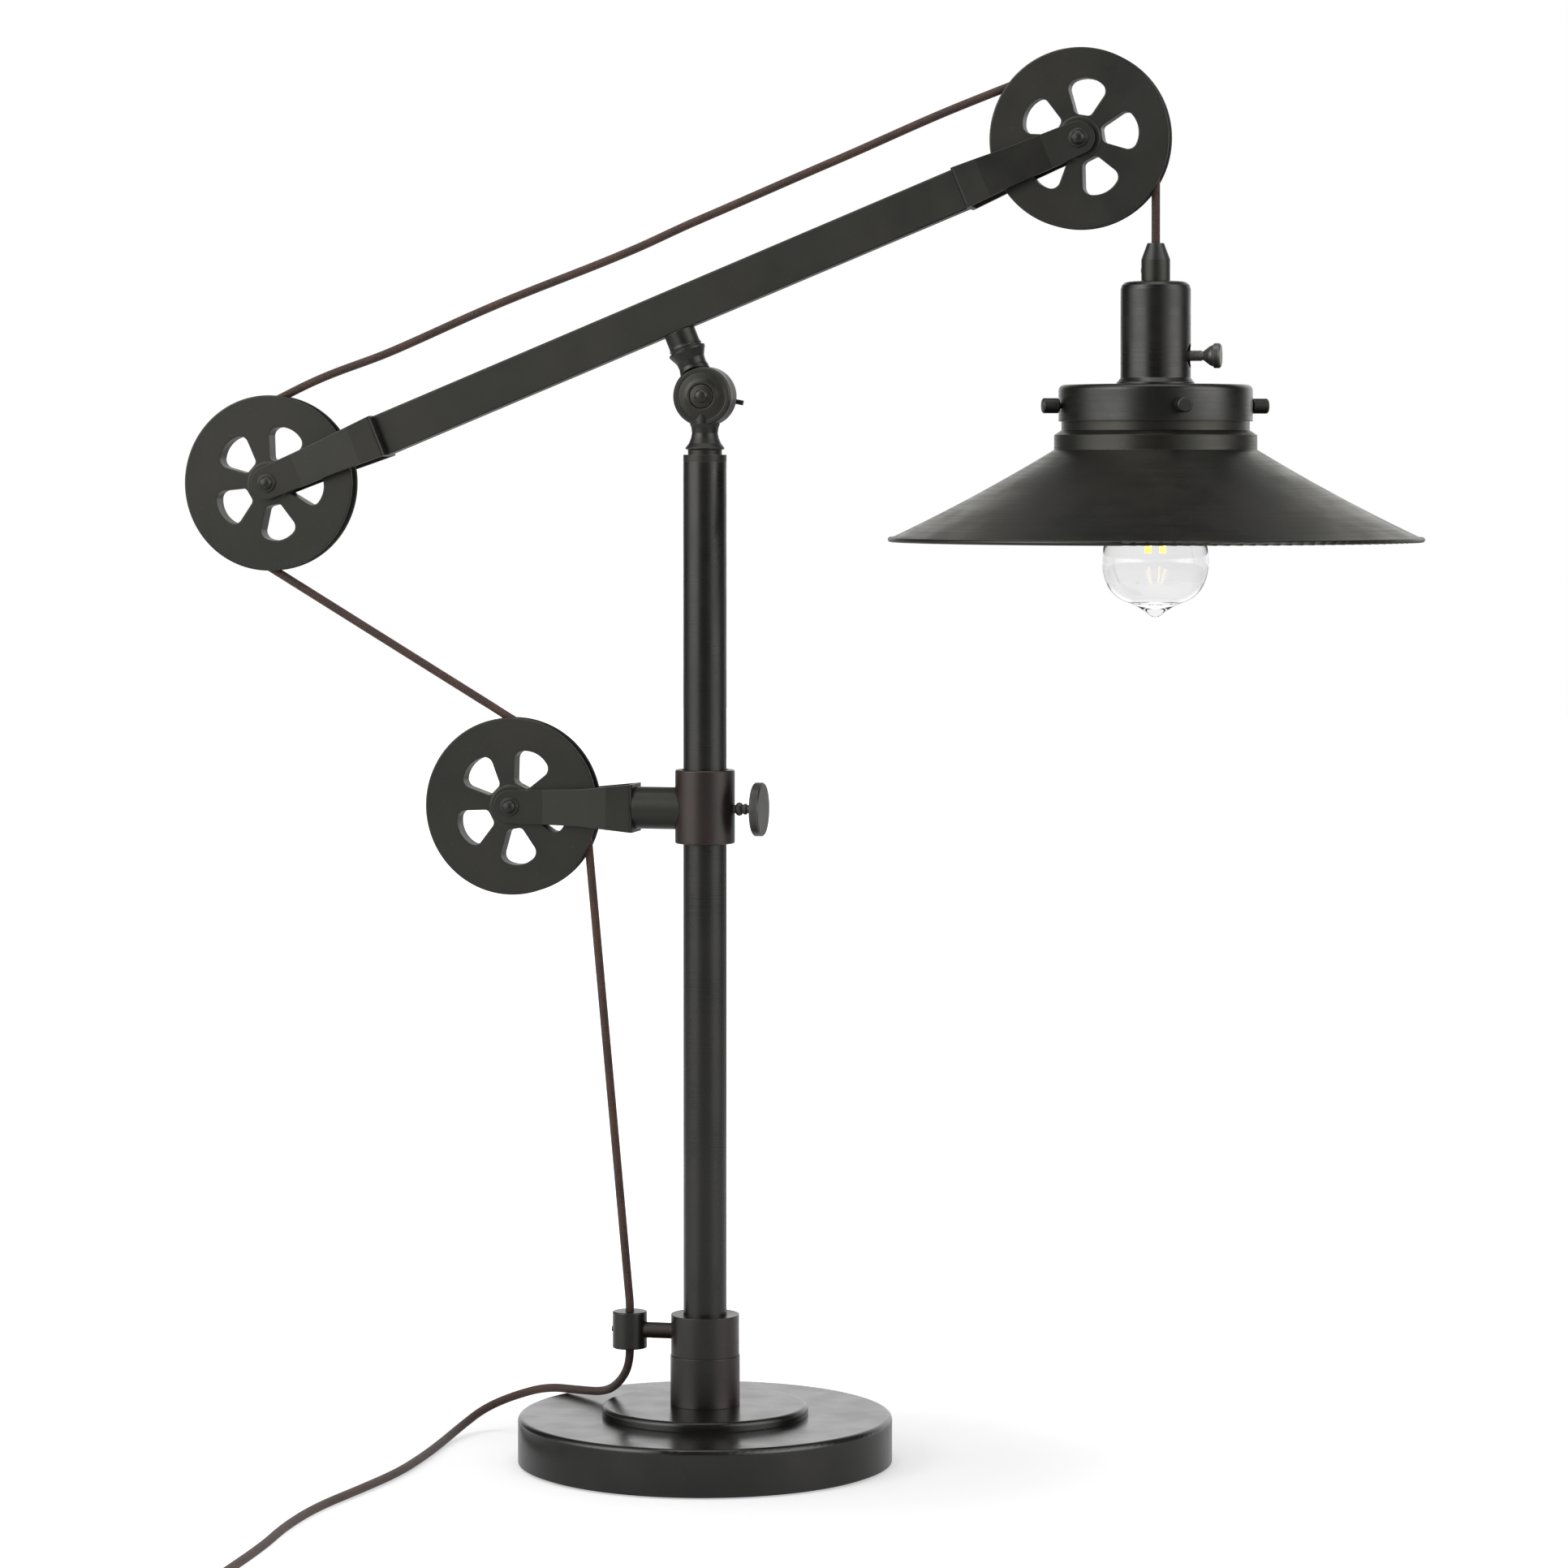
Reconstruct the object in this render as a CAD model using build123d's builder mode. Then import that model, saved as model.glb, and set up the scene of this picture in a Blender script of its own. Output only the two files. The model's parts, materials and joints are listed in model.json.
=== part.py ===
from build123d import *
from math import acos, asin, atan2, ceil, cos, degrees, hypot, pi, radians, sin, tan
import os

# Table lamp with a weighted base, a post, a tilting beam with a pulley at each end, a third pulley
# on a sliding collar and a flared shade that hangs from the cord. Millimetres, +Z up, origin at the
# centre of the base underside. The beam lies in the XZ plane, the shade on the +X side.

os.makedirs("parts", exist_ok=True)

# Clearances
pin_gap = 0.05
slip_gap = 0.1
side_gap = 0.3
cord_gap = 0.25

# Cord
cord_d = 4.4
cord_r = cord_d / 2

# Base
base_d = 196
base_h = 24.7
base_edge = 2.5
base_wall = 1.6
base_lift = 0.8
felt_t = 1.2
weight_gap = 0.5
step_d = 108
step_t = 5.3
step_edge = 2.2
rod_r = 5
nut_af = 17
nut_t = 8
nut_pocket = 10
sleeve_r = 18.2
sleeve_h = 25.9
sleeve_floor = 5

# Post
post_r = 11.35
post_wall = 2
post_top = 524

# Cord clip at the foot of the post
clamp_r = 17.85
clamp_h = 21.3
clip_x = -40.7
clip_r = 9.05
clip_h = 19.2
clip_rod_r = 4.15
clip_rod_z = 67.7
clip_rod_depth = 2.5
clip_edge = 0.6
set_screw_r = 1.5
grub_r = 2

# Knuckle
knuckle_z = 558
knuckle_r = 15.5
knuckle_half = 7.5
washer_t = 0.7
washer_r = 12
bolt_r = 2.5
ferrule_h = 3.5
spigot_h = 12
neck_r = 8.3
neck_bead = 28.2
wing_y = 14
wing_half = 17.5
wing_r = 1.3
wing_tilt = -11

# Beam
beam_tilt = 22.1
beam_h = 22
beam_t = 9.5
beam_offset = 47.4
front_reach = 233.5
rear_reach = 237.5
stud_r = 4
stud_depth = 12

# Pulleys
wheel_r = 46.7
wheel_half = 5.3
wheel_edge = 0.5
hub_r = 11
hub_half = 5.9
cord_ring = 39
groove_mouth = 4
petal_count = 5
petal_inner = 12
petal_outer = 31.1
petal_inner_half = 4.0
petal_side_r = 26.1
petal_outer_half = 10.6
petal_corner = 4.6
front_petal_angle = 8.5
rear_petal_angle = 67
middle_petal_angle = 63.5

# Forks
fork_reach = 67
fork_sheet = 2.1
fork_foot_h = 22.5
middle_foot_h = 25.4
fork_foot_half = 11
fork_waist_x = 38
fork_waist_h = 19.4
fork_tip_r = 8.7
fork_bend = 1.6
axle_r = 2.5
axle_ring_r = 5
axle_ring_t = 1
axle_dome_r = 3.7
axle_dome_h = 2.5
axle_nut_af = 8
axle_nut_t = 4
fork_screw_r = 2.4
fork_screw_head_r = 4.5
fork_screw_head_t = 2.4
fork_screw_depth = 9

# Slider
slider_z = 342.3
slider_h = 38.6
slider_rise = 1.2
slider_r = 15.65
bush_wall = 1.15
bush_inset = 2
slider_arm_r = 11.1
slider_arm_x = -37
thumb_stem_r = 2.25
thumb_r = 14.1
thumb_face_x = 31.5
thumb_t = 5

# Shade and lampholder, hung from the top of the strain relief
relief_top = 635.7
relief_foot = relief_top - 8.3
relief_top_r = 4.3
grip_r = 7.4
grip_foot = relief_top - 19.6
nipple_r = 4.9
nipple_end = relief_top - 31.7
cup_r = 18
cup_wall = 1.2
cup_round = 4
cup_foot_r = 20
switch_z = relief_top - 57.7
switch_hole_r = 6.2
knob_r = 6.4
knob_end = 33.7
knob_stem_r = 2.3
knob_cone = 28
knob_cone_r = 4.9
holder_r = 16.2
holder_neck_r = 9
holder_foot = relief_top - 114.7
holder_step = relief_top - 75.7
gallery_r = 49.7
gallery_top = relief_top - 72.5
gallery_foot = relief_top - 91.2
gallery_wall = 1.2
gallery_round = 3
screw_z = relief_top - 83.3
screw_count = 4
screw_angle = -67
screw_head_r = 3.9
screw_head_end = 59.5
shade_neck_r = 48.2
shade_neck_top = relief_top - 75.7
shade_wall = 1.2
shoulder_r = 52
shoulder_top = relief_top - 98.3
shoulder_foot = relief_top - 105.8
rim_r = 137.25
rim_z = relief_top - 151.7
shade_sag = 1.3
bead_r = 1.3

# Bulb
globe_r = 27.6
globe_z = relief_top - 162.7
globe_wall = 0.8
globe_neck_r = 12.1
globe_join = 40
globe_cone = -25
cone_bend = (21.4, 17.1)
cone_shoulder = (14.6, 21.2)
pip_hollow = (8, 24.2)
pip_edge = (3.3, 27.7)
pip_inside = 24.6
stem_foot = relief_top - 126.7
globe_tip_z = relief_top - 191.6
cap_r = 13
cap_top = relief_top - 85.2
cap_foot = relief_top - 109.7
filament_r = 0.9
filament_h = 32
filament_ring = 5.5
filament_turn = 65
filament_count = 4

# Free cord: put away coil and plug
coil_pitch = 5.0
coil_inner_r = 16
coil_turns_in = 4
coil_turns_out = 4.25
coil_lead_l = 60
coil_centre = (-113.5, -398)
coil_start_angle = 185
floor_cord_z = cord_r + 0.05
riser_bend_r = 60
plug_relief_l = 20
plug_l = 24
plug_w = 20
plug_h = 13.6
blade_l = 17
blade_w = 6.3
blade_t = 1.5
blade_pitch = 12.7

# Places worked out from the sizes above
lamp_plane = Plane.XZ
tilt = radians(beam_tilt)
along_beam = Vector(cos(tilt), 0, sin(tilt))
beam_up = Vector(-sin(tilt), 0, cos(tilt))
knuckle = Vector(0, 0, knuckle_z)
beam_foot = knuckle + beam_up * beam_offset
front_axle = beam_foot + along_beam * front_reach
rear_axle = beam_foot - along_beam * rear_reach
middle_axle = Vector(slider_arm_x - fork_reach, 0, slider_z)
shade_x = front_axle.X + cord_ring
shade_axis = Axis((shade_x, 0, 0), (0, 0, 1))
knuckle_axis = Axis((0, 0, knuckle_z), (0, 1, 0))
step_top = base_h + step_t
sleeve_top = step_top + sleeve_h
clamp_top = sleeve_top + clamp_h
clip_foot = clip_rod_z - clip_h / 2
clip_top = clip_rod_z + clip_h / 2
weight_top = base_h - base_wall
ferrule_top = post_top + ferrule_h
knuckle_gap = washer_t / 2 + pin_gap
bush_r = post_r + pin_gap + bush_wall
cheek_half = hub_half + side_gap
groove_r = cord_r + cord_gap


def lathe(outline, centre_x=0):
    """Closed radius and height outline, standing in the XZ plane beside a vertical axis."""
    with BuildSketch(Plane.XZ) as face:
        with BuildLine():
            Polyline(*[(centre_x + radius, height) for radius, height in outline], close=True)
        make_face()
    return face.sketch


def across(outline, centre):
    """Closed radius and Y outline beside the line through centre that runs along Y."""
    with BuildSketch(Plane(origin=centre, x_dir=(1, 0, 0), z_dir=(0, 0, 1))) as face:
        with BuildLine():
            Polyline(*outline, close=True)
        make_face()
    return face.sketch


def lengthwise(outline, centre_z):
    """Closed X and radius outline above the line at centre_z that runs along X."""
    with BuildSketch(Plane.XZ) as face:
        with BuildLine():
            Polyline(*[(x, centre_z + radius) for x, radius in outline], close=True)
        make_face()
    return face.sketch


def y_axis(centre):
    return Axis(centre, (0, 1, 0))


# Base

with BuildPart() as felt_pad:
    with BuildSketch():
        Circle(base_d / 2 - base_wall - weight_gap)
    extrude(amount=felt_t)
felt_pad.part.label = "felt_pad"
export_step(felt_pad.part, "parts/felt_pad.step")

with BuildPart() as base_weight:
    with BuildSketch(Plane.XY.offset(felt_t)):
        Circle(base_d / 2 - base_wall - weight_gap)
        Circle(rod_r + slip_gap, mode=Mode.SUBTRACT)
    extrude(amount=weight_top - felt_t)
    with BuildSketch(Plane.XY.offset(felt_t)):
        Circle(nut_af)
    extrude(amount=nut_pocket, mode=Mode.SUBTRACT)
    chamfer(base_weight.edges().group_by(Axis.Z)[-1].sort_by(SortBy.RADIUS)[-1], base_edge)
base_weight.part.label = "base_weight"
export_step(base_weight.part, "parts/base_weight.step")

with BuildPart() as base_cover:
    with BuildSketch(Plane.XY.offset(base_lift)):
        Circle(base_d / 2)
    extrude(amount=base_h - base_lift)
    fillet(base_cover.edges().group_by(Axis.Z)[-1], base_edge)
    with BuildSketch(Plane.XY.offset(base_lift)):
        Circle(base_d / 2 - base_wall)
    extrude(amount=weight_top - base_lift, mode=Mode.SUBTRACT)
    with BuildSketch(Plane.XY.offset(weight_top)):
        Circle(rod_r + slip_gap)
    extrude(amount=base_wall, mode=Mode.SUBTRACT)
base_cover.part.label = "base_cover"
export_step(base_cover.part, "parts/base_cover.step")

with BuildPart() as step_disc:
    with BuildSketch(Plane.XY.offset(base_h)):
        Circle(step_d / 2)
        Circle(rod_r + slip_gap, mode=Mode.SUBTRACT)
    extrude(amount=step_t)
    fillet(step_disc.edges().group_by(Axis.Z)[-1].sort_by(SortBy.RADIUS)[-1], step_edge)
step_disc.part.label = "step_disc"
export_step(step_disc.part, "parts/step_disc.step")

with BuildPart() as pedestal_sleeve:
    with BuildSketch(Plane.XY.offset(step_top)):
        Circle(sleeve_r)
        Circle(rod_r, mode=Mode.SUBTRACT)
    extrude(amount=sleeve_h)
    with BuildSketch(Plane.XY.offset(step_top + sleeve_floor)):
        Circle(post_r)
    extrude(amount=sleeve_h, mode=Mode.SUBTRACT)
pedestal_sleeve.part.label = "pedestal_sleeve"
export_step(pedestal_sleeve.part, "parts/pedestal_sleeve.step")

pocket_top = felt_t + nut_pocket
with BuildPart() as base_rod:
    with BuildSketch(Plane.XY.offset(pocket_top - nut_t)):
        Circle(rod_r)
    extrude(amount=step_top + sleeve_floor - pocket_top + nut_t)
base_rod.part.label = "base_rod"
export_step(base_rod.part, "parts/base_rod.step")

with BuildPart() as base_nut:
    with BuildSketch(Plane.XY.offset(pocket_top - nut_t)):
        RegularPolygon(nut_af / 2, 6, major_radius=False)
        Circle(rod_r, mode=Mode.SUBTRACT)
    extrude(amount=nut_t)
base_nut.part.label = "base_nut"
export_step(base_nut.part, "parts/base_nut.step")

# Post and cord clip

with BuildPart() as post_tube:
    with BuildSketch(Plane.XY.offset(step_top + sleeve_floor)):
        Circle(post_r)
        Circle(post_r - post_wall, mode=Mode.SUBTRACT)
    extrude(amount=post_top - step_top - sleeve_floor)
post_tube.part.label = "post_tube"
export_step(post_tube.part, "parts/post_tube.step")

rod_end_x = clip_x + clip_r - clip_rod_depth
with BuildPart() as clamp_collar:
    with BuildSketch(Plane.XY.offset(sleeve_top)):
        Circle(clamp_r)
    extrude(amount=clamp_h)
    with BuildSketch(Plane.YZ.offset(rod_end_x)):
        with Locations((0, clip_rod_z)):
            Circle(clip_rod_r)
    extrude(amount=-rod_end_x - post_r)
    with BuildSketch(Plane.XY.offset(sleeve_top)):
        Circle(post_r)
    extrude(amount=clamp_h, mode=Mode.SUBTRACT)
    with BuildSketch(Plane.XZ):
        with Locations((0, clip_rod_z)):
            Circle(grub_r)
    extrude(amount=-clamp_r, mode=Mode.SUBTRACT)
clamp_collar.part.label = "clamp_collar"
export_step(clamp_collar.part, "parts/clamp_collar.step")

with BuildPart() as cord_clip:
    with BuildSketch(Plane.XY.offset(clip_foot)):
        with Locations((clip_x, 0)):
            Circle(clip_r)
    extrude(amount=clip_h)
    fillet(cord_clip.edges().filter_by(GeomType.CIRCLE), clip_edge)
    with BuildSketch(Plane.XY.offset(clip_foot)):
        with Locations((clip_x, 0)):
            Circle(cord_r + cord_gap)
    extrude(amount=clip_h, mode=Mode.SUBTRACT)
    with BuildSketch(Plane.YZ.offset(rod_end_x)):
        with Locations((0, clip_rod_z)):
            Circle(clip_rod_r)
    extrude(amount=clip_r, mode=Mode.SUBTRACT)
    with BuildSketch(Plane.YZ.offset(clip_x)):
        with Locations((0, clip_rod_z)):
            Circle(set_screw_r)
    extrude(amount=-clip_r, mode=Mode.SUBTRACT)
cord_clip.part.label = "cord_clip"
export_step(cord_clip.part, "parts/cord_clip.step")

clip_screw_start = clip_x - cord_r - side_gap
clip_screw_end = clip_x - clip_r - 0.5
with BuildPart() as clamp_screws:
    with BuildSketch(Plane.YZ.offset(clip_screw_end)):
        with Locations((0, clip_rod_z)):
            Circle(set_screw_r)
    extrude(amount=clip_screw_start - clip_screw_end)
    with BuildSketch(Plane.XZ.offset(-post_r)):
        with Locations((0, clip_rod_z)):
            Circle(grub_r)
    extrude(amount=post_r - clamp_r - 0.4)
clamp_screws.part.label = "clamp_screws"
export_step(clamp_screws.part, "parts/clamp_screws.step")

# Knuckle

with BuildPart() as lower_knuckle:
    revolve(
        lathe(
            [
                (0, post_top - spigot_h),
                (post_r - post_wall, post_top - spigot_h),
                (post_r - post_wall, post_top),
                (post_r, post_top),
                (post_r, ferrule_top),
                (8.9, ferrule_top),
                (8.9, ferrule_top + 2.6),
                (9.85, ferrule_top + 2.8),
                (10.3, ferrule_top + 3.4),
                (9.85, ferrule_top + 4.1),
                (8.4, ferrule_top + 6),
                (7.3, ferrule_top + 8.7),
                (6.8, ferrule_top + 11.3),
                (7.1, ferrule_top + 14),
                (7.85, ferrule_top + 16.1),
                (7.85, knuckle_z - 9),
                (0, knuckle_z - 9),
            ]
        ),
        axis=Axis.Z,
    )
    with BuildSketch(Plane.XZ.offset(knuckle_gap)):
        with Locations((0, knuckle_z)):
            Circle(knuckle_r + side_gap)
    extrude(amount=-2 * knuckle_r, mode=Mode.SUBTRACT)
    revolve(
        across(
            [
                (bolt_r, -knuckle_gap),
                (knuckle_r, -knuckle_gap),
                (knuckle_r, 1 - knuckle_half),
                (knuckle_r - 1, -knuckle_half),
                (12.9, -knuckle_half),
                (12.6, -knuckle_half + 0.4),
                (12.2, -knuckle_half),
                (9.3, -knuckle_half - 0.3),
                (7.75, -knuckle_half - 1.1),
                (6.7, -knuckle_half - 1.1),
                (6.1, -knuckle_half - 0.4),
                (bolt_r, -knuckle_half - 0.4),
            ],
            knuckle,
        ),
        axis=knuckle_axis,
    )
    with BuildSketch(Plane.XZ):
        with Locations((0, knuckle_z)):
            Circle(bolt_r)
    extrude(amount=2 * knuckle_half, both=True, mode=Mode.SUBTRACT)
lower_knuckle.part.label = "lower_knuckle"
export_step(lower_knuckle.part, "parts/lower_knuckle.step")

neck_plane = Plane(origin=knuckle, x_dir=along_beam, z_dir=(0, -1, 0))
beam_underside = beam_offset - beam_h / 2
with BuildPart() as upper_knuckle:
    with BuildSketch(neck_plane):
        with BuildLine():
            Polyline(
                (0, 9),
                (7.9, 9),
                (7.9, 15.2),
                (7.35, 17.6),
                (7.6, 20.6),
                (9.4, 24.2),
                (9.85, 25),
                (9.85, 26),
                (8.5, 26.6),
                (8.5, 27.2),
                (8.9, 27.7),
                (8.5, neck_bead),
                (neck_r, neck_bead + 1),
                (neck_r, beam_underside),
                (stud_r, beam_underside),
                (stud_r, beam_underside + stud_depth),
                (0, beam_underside + stud_depth),
                close=True,
            )
        make_face()
    revolve(axis=Axis(knuckle, beam_up))
    with BuildSketch(Plane.XZ.offset(-knuckle_gap)):
        with Locations((0, knuckle_z)):
            Circle(knuckle_r + side_gap)
    extrude(amount=2 * knuckle_r, mode=Mode.SUBTRACT)
    revolve(
        across(
            [
                (bolt_r + pin_gap, knuckle_gap),
                (knuckle_r, knuckle_gap),
                (knuckle_r, knuckle_half - 1),
                (knuckle_r - 1, knuckle_half),
                (bolt_r + pin_gap, knuckle_half),
            ],
            knuckle,
        ),
        axis=knuckle_axis,
    )
    with BuildSketch(Plane.XZ):
        with Locations((0, knuckle_z)):
            Circle(bolt_r + pin_gap)
    extrude(amount=2 * knuckle_half, both=True, mode=Mode.SUBTRACT)
upper_knuckle.part.label = "upper_knuckle"
export_step(upper_knuckle.part, "parts/upper_knuckle.step")

with BuildPart() as knuckle_washer:
    with BuildSketch(Plane.XZ):
        with Locations((0, knuckle_z)):
            Circle(washer_r)
            Circle(bolt_r, mode=Mode.SUBTRACT)
    extrude(amount=washer_t / 2, both=True)
knuckle_washer.part.label = "knuckle_washer"
export_step(knuckle_washer.part, "parts/knuckle_washer.step")

bolt_end = knuckle_half + 5
bolt_head = -knuckle_half - 0.4
with BuildPart() as knuckle_bolt:
    revolve(
        across(
            [
                (0, bolt_end),
                (bolt_r, bolt_end),
                (bolt_r, bolt_head),
                (6, bolt_head),
                (6, bolt_head - 0.8),
                (3.7, bolt_head - 1.1),
                (3.4, bolt_head - 2),
                (2.6, bolt_head - 2.8),
                (1.3, bolt_head - 3.3),
                (0, bolt_head - 3.4),
            ],
            knuckle,
        ),
        axis=knuckle_axis,
    )
knuckle_bolt.part.label = "knuckle_bolt"
export_step(knuckle_bolt.part, "parts/knuckle_bolt.step")

wing_start = knuckle_half + side_gap
with BuildPart() as knuckle_wing:
    revolve(
        across(
            [
                (bolt_r + pin_gap, wing_start),
                (5.2, wing_start),
                (5.2, wing_y - 3),
                (3.6, wing_y + 2.6),
                (2.6, wing_y + 3.2),
                (0, wing_y + 3.2),
                (0, bolt_end + side_gap),
                (bolt_r + pin_gap, bolt_end + side_gap),
            ],
            knuckle,
        ),
        axis=knuckle_axis,
    )
    bar_dir = Vector(cos(radians(wing_tilt)), 0, sin(radians(wing_tilt)))
    bar_mid = Vector(0, wing_y + 0.4, knuckle_z)
    with BuildSketch(Plane(origin=bar_mid, z_dir=bar_dir)):
        Circle(wing_r)
    extrude(amount=wing_half, both=True)
knuckle_wing.part.label = "knuckle_wing"
export_step(knuckle_wing.part, "parts/knuckle_wing.step")

# Beam

beam_plane = Plane(origin=beam_foot, x_dir=along_beam, z_dir=(0, -1, 0))
beam_front = front_reach - fork_reach
beam_rear = fork_reach - rear_reach
with BuildPart() as beam:
    with BuildSketch(beam_plane):
        with Locations(((beam_front + beam_rear) / 2, 0)):
            Rectangle(beam_front - beam_rear, beam_h)
    extrude(amount=beam_t / 2, both=True)
    chamfer(beam.edges().filter_by(Axis(knuckle, along_beam)), 0.6)
    with BuildSketch(Plane(origin=beam_foot - beam_up * beam_h / 2, z_dir=beam_up)):
        Circle(stud_r)
    extrude(amount=stud_depth, mode=Mode.SUBTRACT)
    for end, inward in ((beam_front, -1), (beam_rear, 1)):
        end_point = beam_foot + along_beam * end
        with BuildSketch(Plane(origin=end_point, z_dir=along_beam * inward)):
            Circle(fork_screw_r)
        extrude(amount=fork_screw_depth, mode=Mode.SUBTRACT)
beam.part.label = "beam"
export_step(beam.part, "parts/beam.step")

# Pulley stations: a fork, a wheel, its axle and nut, and the screw that holds the fork

with BuildSketch() as petal:
    with BuildLine():
        Polyline(
            (petal_side_r, petal_outer_half),
            (petal_inner, petal_inner_half),
            (petal_inner, -petal_inner_half),
            (petal_side_r, -petal_outer_half),
        )
        ThreePointArc(
            (petal_side_r, -petal_outer_half),
            (petal_outer, 0),
            (petal_side_r, petal_outer_half),
        )
    make_face()
    fillet(petal.vertices().group_by(Axis.X)[-1], petal_corner)
    fillet(petal.vertices().group_by(Axis.X)[0], petal_inner_half * 0.7)


def build_pulley(axle, first_petal):
    """Grooved wheel with a hub and petal holes; the first hole points at first_petal degrees."""
    with BuildPart() as wheel:
        with BuildSketch(Plane(origin=axle, x_dir=(1, 0, 0), z_dir=(0, 0, 1))):
            with BuildLine():
                Polyline(
                    (cord_ring, groove_r),
                    (wheel_r, groove_mouth),
                    (wheel_r, wheel_half),
                    (hub_r, wheel_half),
                    (hub_r, hub_half),
                    (axle_r + pin_gap, hub_half),
                    (axle_r + pin_gap, -hub_half),
                    (hub_r, -hub_half),
                    (hub_r, -wheel_half),
                    (wheel_r, -wheel_half),
                    (wheel_r, -groove_mouth),
                    (cord_ring, -groove_r),
                )
                ThreePointArc(
                    (cord_ring, -groove_r), (cord_ring - groove_r, 0), (cord_ring, groove_r)
                )
            make_face()
        revolve(axis=y_axis(axle))
        rim_edges = wheel.edges().filter_by(GeomType.CIRCLE)
        fillet(rim_edges.filter_by(lambda edge: abs(edge.radius - wheel_r) < 0.01), wheel_edge)
        with BuildSketch(Plane(origin=axle, x_dir=(1, 0, 0), z_dir=(0, -1, 0))):
            with PolarLocations(0, petal_count, start_angle=first_petal):
                add(petal.sketch)
        extrude(amount=wheel_half, both=True, mode=Mode.SUBTRACT)
    return wheel.part


def build_fork(axle, toward, foot_h):
    """U strap whose cheeks close in from the foot plate towards the axle."""
    up = toward.cross(Vector(0, 1, 0))
    outer = cheek_half + fork_sheet
    inner_foot = fork_foot_half - fork_sheet
    tip = -fork_tip_r
    with BuildPart() as fork:
        with BuildSketch(Plane(origin=axle, x_dir=toward, z_dir=up)) as strap:
            with BuildLine():
                Polyline(
                    (tip, -outer),
                    (fork_waist_x - 20, -outer),
                    (fork_waist_x + 15, -fork_foot_half),
                    (fork_reach, -fork_foot_half),
                    (fork_reach, fork_foot_half),
                    (fork_waist_x + 15, fork_foot_half),
                    (fork_waist_x - 20, outer),
                    (tip, outer),
                    (tip, cheek_half),
                    (fork_waist_x - 20, cheek_half),
                    (fork_waist_x + 15, inner_foot),
                    (fork_reach - fork_sheet, inner_foot),
                    (fork_reach - fork_sheet, -inner_foot),
                    (fork_waist_x + 15, -inner_foot),
                    (fork_waist_x - 20, -cheek_half),
                    (tip, -cheek_half),
                    close=True,
                )
            make_face()
            fillet(strap.vertices().group_by(Axis.X)[-1], fork_bend)
        extrude(amount=foot_h / 2, both=True)
        with BuildSketch(Plane(origin=axle, x_dir=toward, z_dir=(0, -1, 0))):
            with BuildLine():
                Polyline(
                    (fork_reach, foot_h / 2),
                    (fork_waist_x, fork_waist_h / 2),
                    (0, fork_tip_r),
                    (0, -fork_tip_r),
                    (fork_waist_x, -fork_waist_h / 2),
                    (fork_reach, -foot_h / 2),
                    close=True,
                )
            make_face()
            Circle(fork_tip_r)
        extrude(amount=fork_foot_half, both=True, mode=Mode.INTERSECT)
        with BuildSketch(Plane(origin=axle, x_dir=toward, z_dir=(0, -1, 0))):
            Circle(axle_r)
        extrude(amount=fork_foot_half, both=True, mode=Mode.SUBTRACT)
        with BuildSketch(Plane(origin=axle + toward * fork_reach, z_dir=toward)):
            Circle(fork_screw_r)
        extrude(amount=-fork_sheet, mode=Mode.SUBTRACT)
    return fork.part


def build_axle(axle):
    """Axle bolt with a domed head on a flat ring, head to the front."""
    face = -cheek_half - fork_sheet
    tail = cheek_half + fork_sheet + axle_nut_t
    with BuildPart() as bolt:
        revolve(
            across(
                [
                    (0, tail),
                    (axle_r, tail),
                    (axle_r, face),
                    (axle_ring_r, face),
                    (axle_ring_r, face - axle_ring_t * 0.6),
                    (axle_ring_r - 0.5, face - axle_ring_t),
                    (axle_dome_r, face - axle_ring_t),
                    (axle_dome_r * 0.92, face - axle_ring_t - axle_dome_h * 0.45),
                    (axle_dome_r * 0.62, face - axle_ring_t - axle_dome_h * 0.85),
                    (0, face - axle_ring_t - axle_dome_h),
                ],
                axle,
            ),
            axis=y_axis(axle),
        )
    return bolt.part


def build_axle_nut(axle):
    """Hexagon nut with a domed end on the back cheek."""
    face = cheek_half + fork_sheet
    with BuildPart() as nut:
        with BuildSketch(Plane(origin=axle + Vector(0, face, 0), x_dir=(1, 0, 0), z_dir=(0, 1, 0))):
            RegularPolygon(axle_nut_af / 2, 6, major_radius=False)
        extrude(amount=axle_nut_t)
        revolve(
            across(
                [
                    (0, face),
                    (axle_nut_af / 2 - 0.3, face),
                    (axle_nut_af / 2 - 0.3, face + axle_nut_t),
                    (axle_r, face + axle_nut_t + 2),
                    (0, face + axle_nut_t + 2.4),
                ],
                axle,
            ),
            axis=y_axis(axle),
        )
        with BuildSketch(Plane(origin=axle, x_dir=(1, 0, 0), z_dir=(0, 1, 0))):
            Circle(axle_r)
        extrude(amount=face + axle_nut_t, mode=Mode.SUBTRACT)
    return nut.part


def build_fork_screw(axle, toward):
    """Round headed screw through the foot plate into the bar behind it."""
    seat = fork_reach - fork_sheet
    with BuildPart() as screw:
        with BuildSketch(Plane(origin=axle + toward * seat, z_dir=toward)):
            Circle(fork_screw_r)
        extrude(amount=fork_sheet + fork_screw_depth - 0.5)
        with BuildSketch(Plane(origin=axle + toward * seat, z_dir=toward)):
            Circle(fork_screw_head_r)
        extrude(amount=-fork_screw_head_t)
    return screw.part


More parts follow.
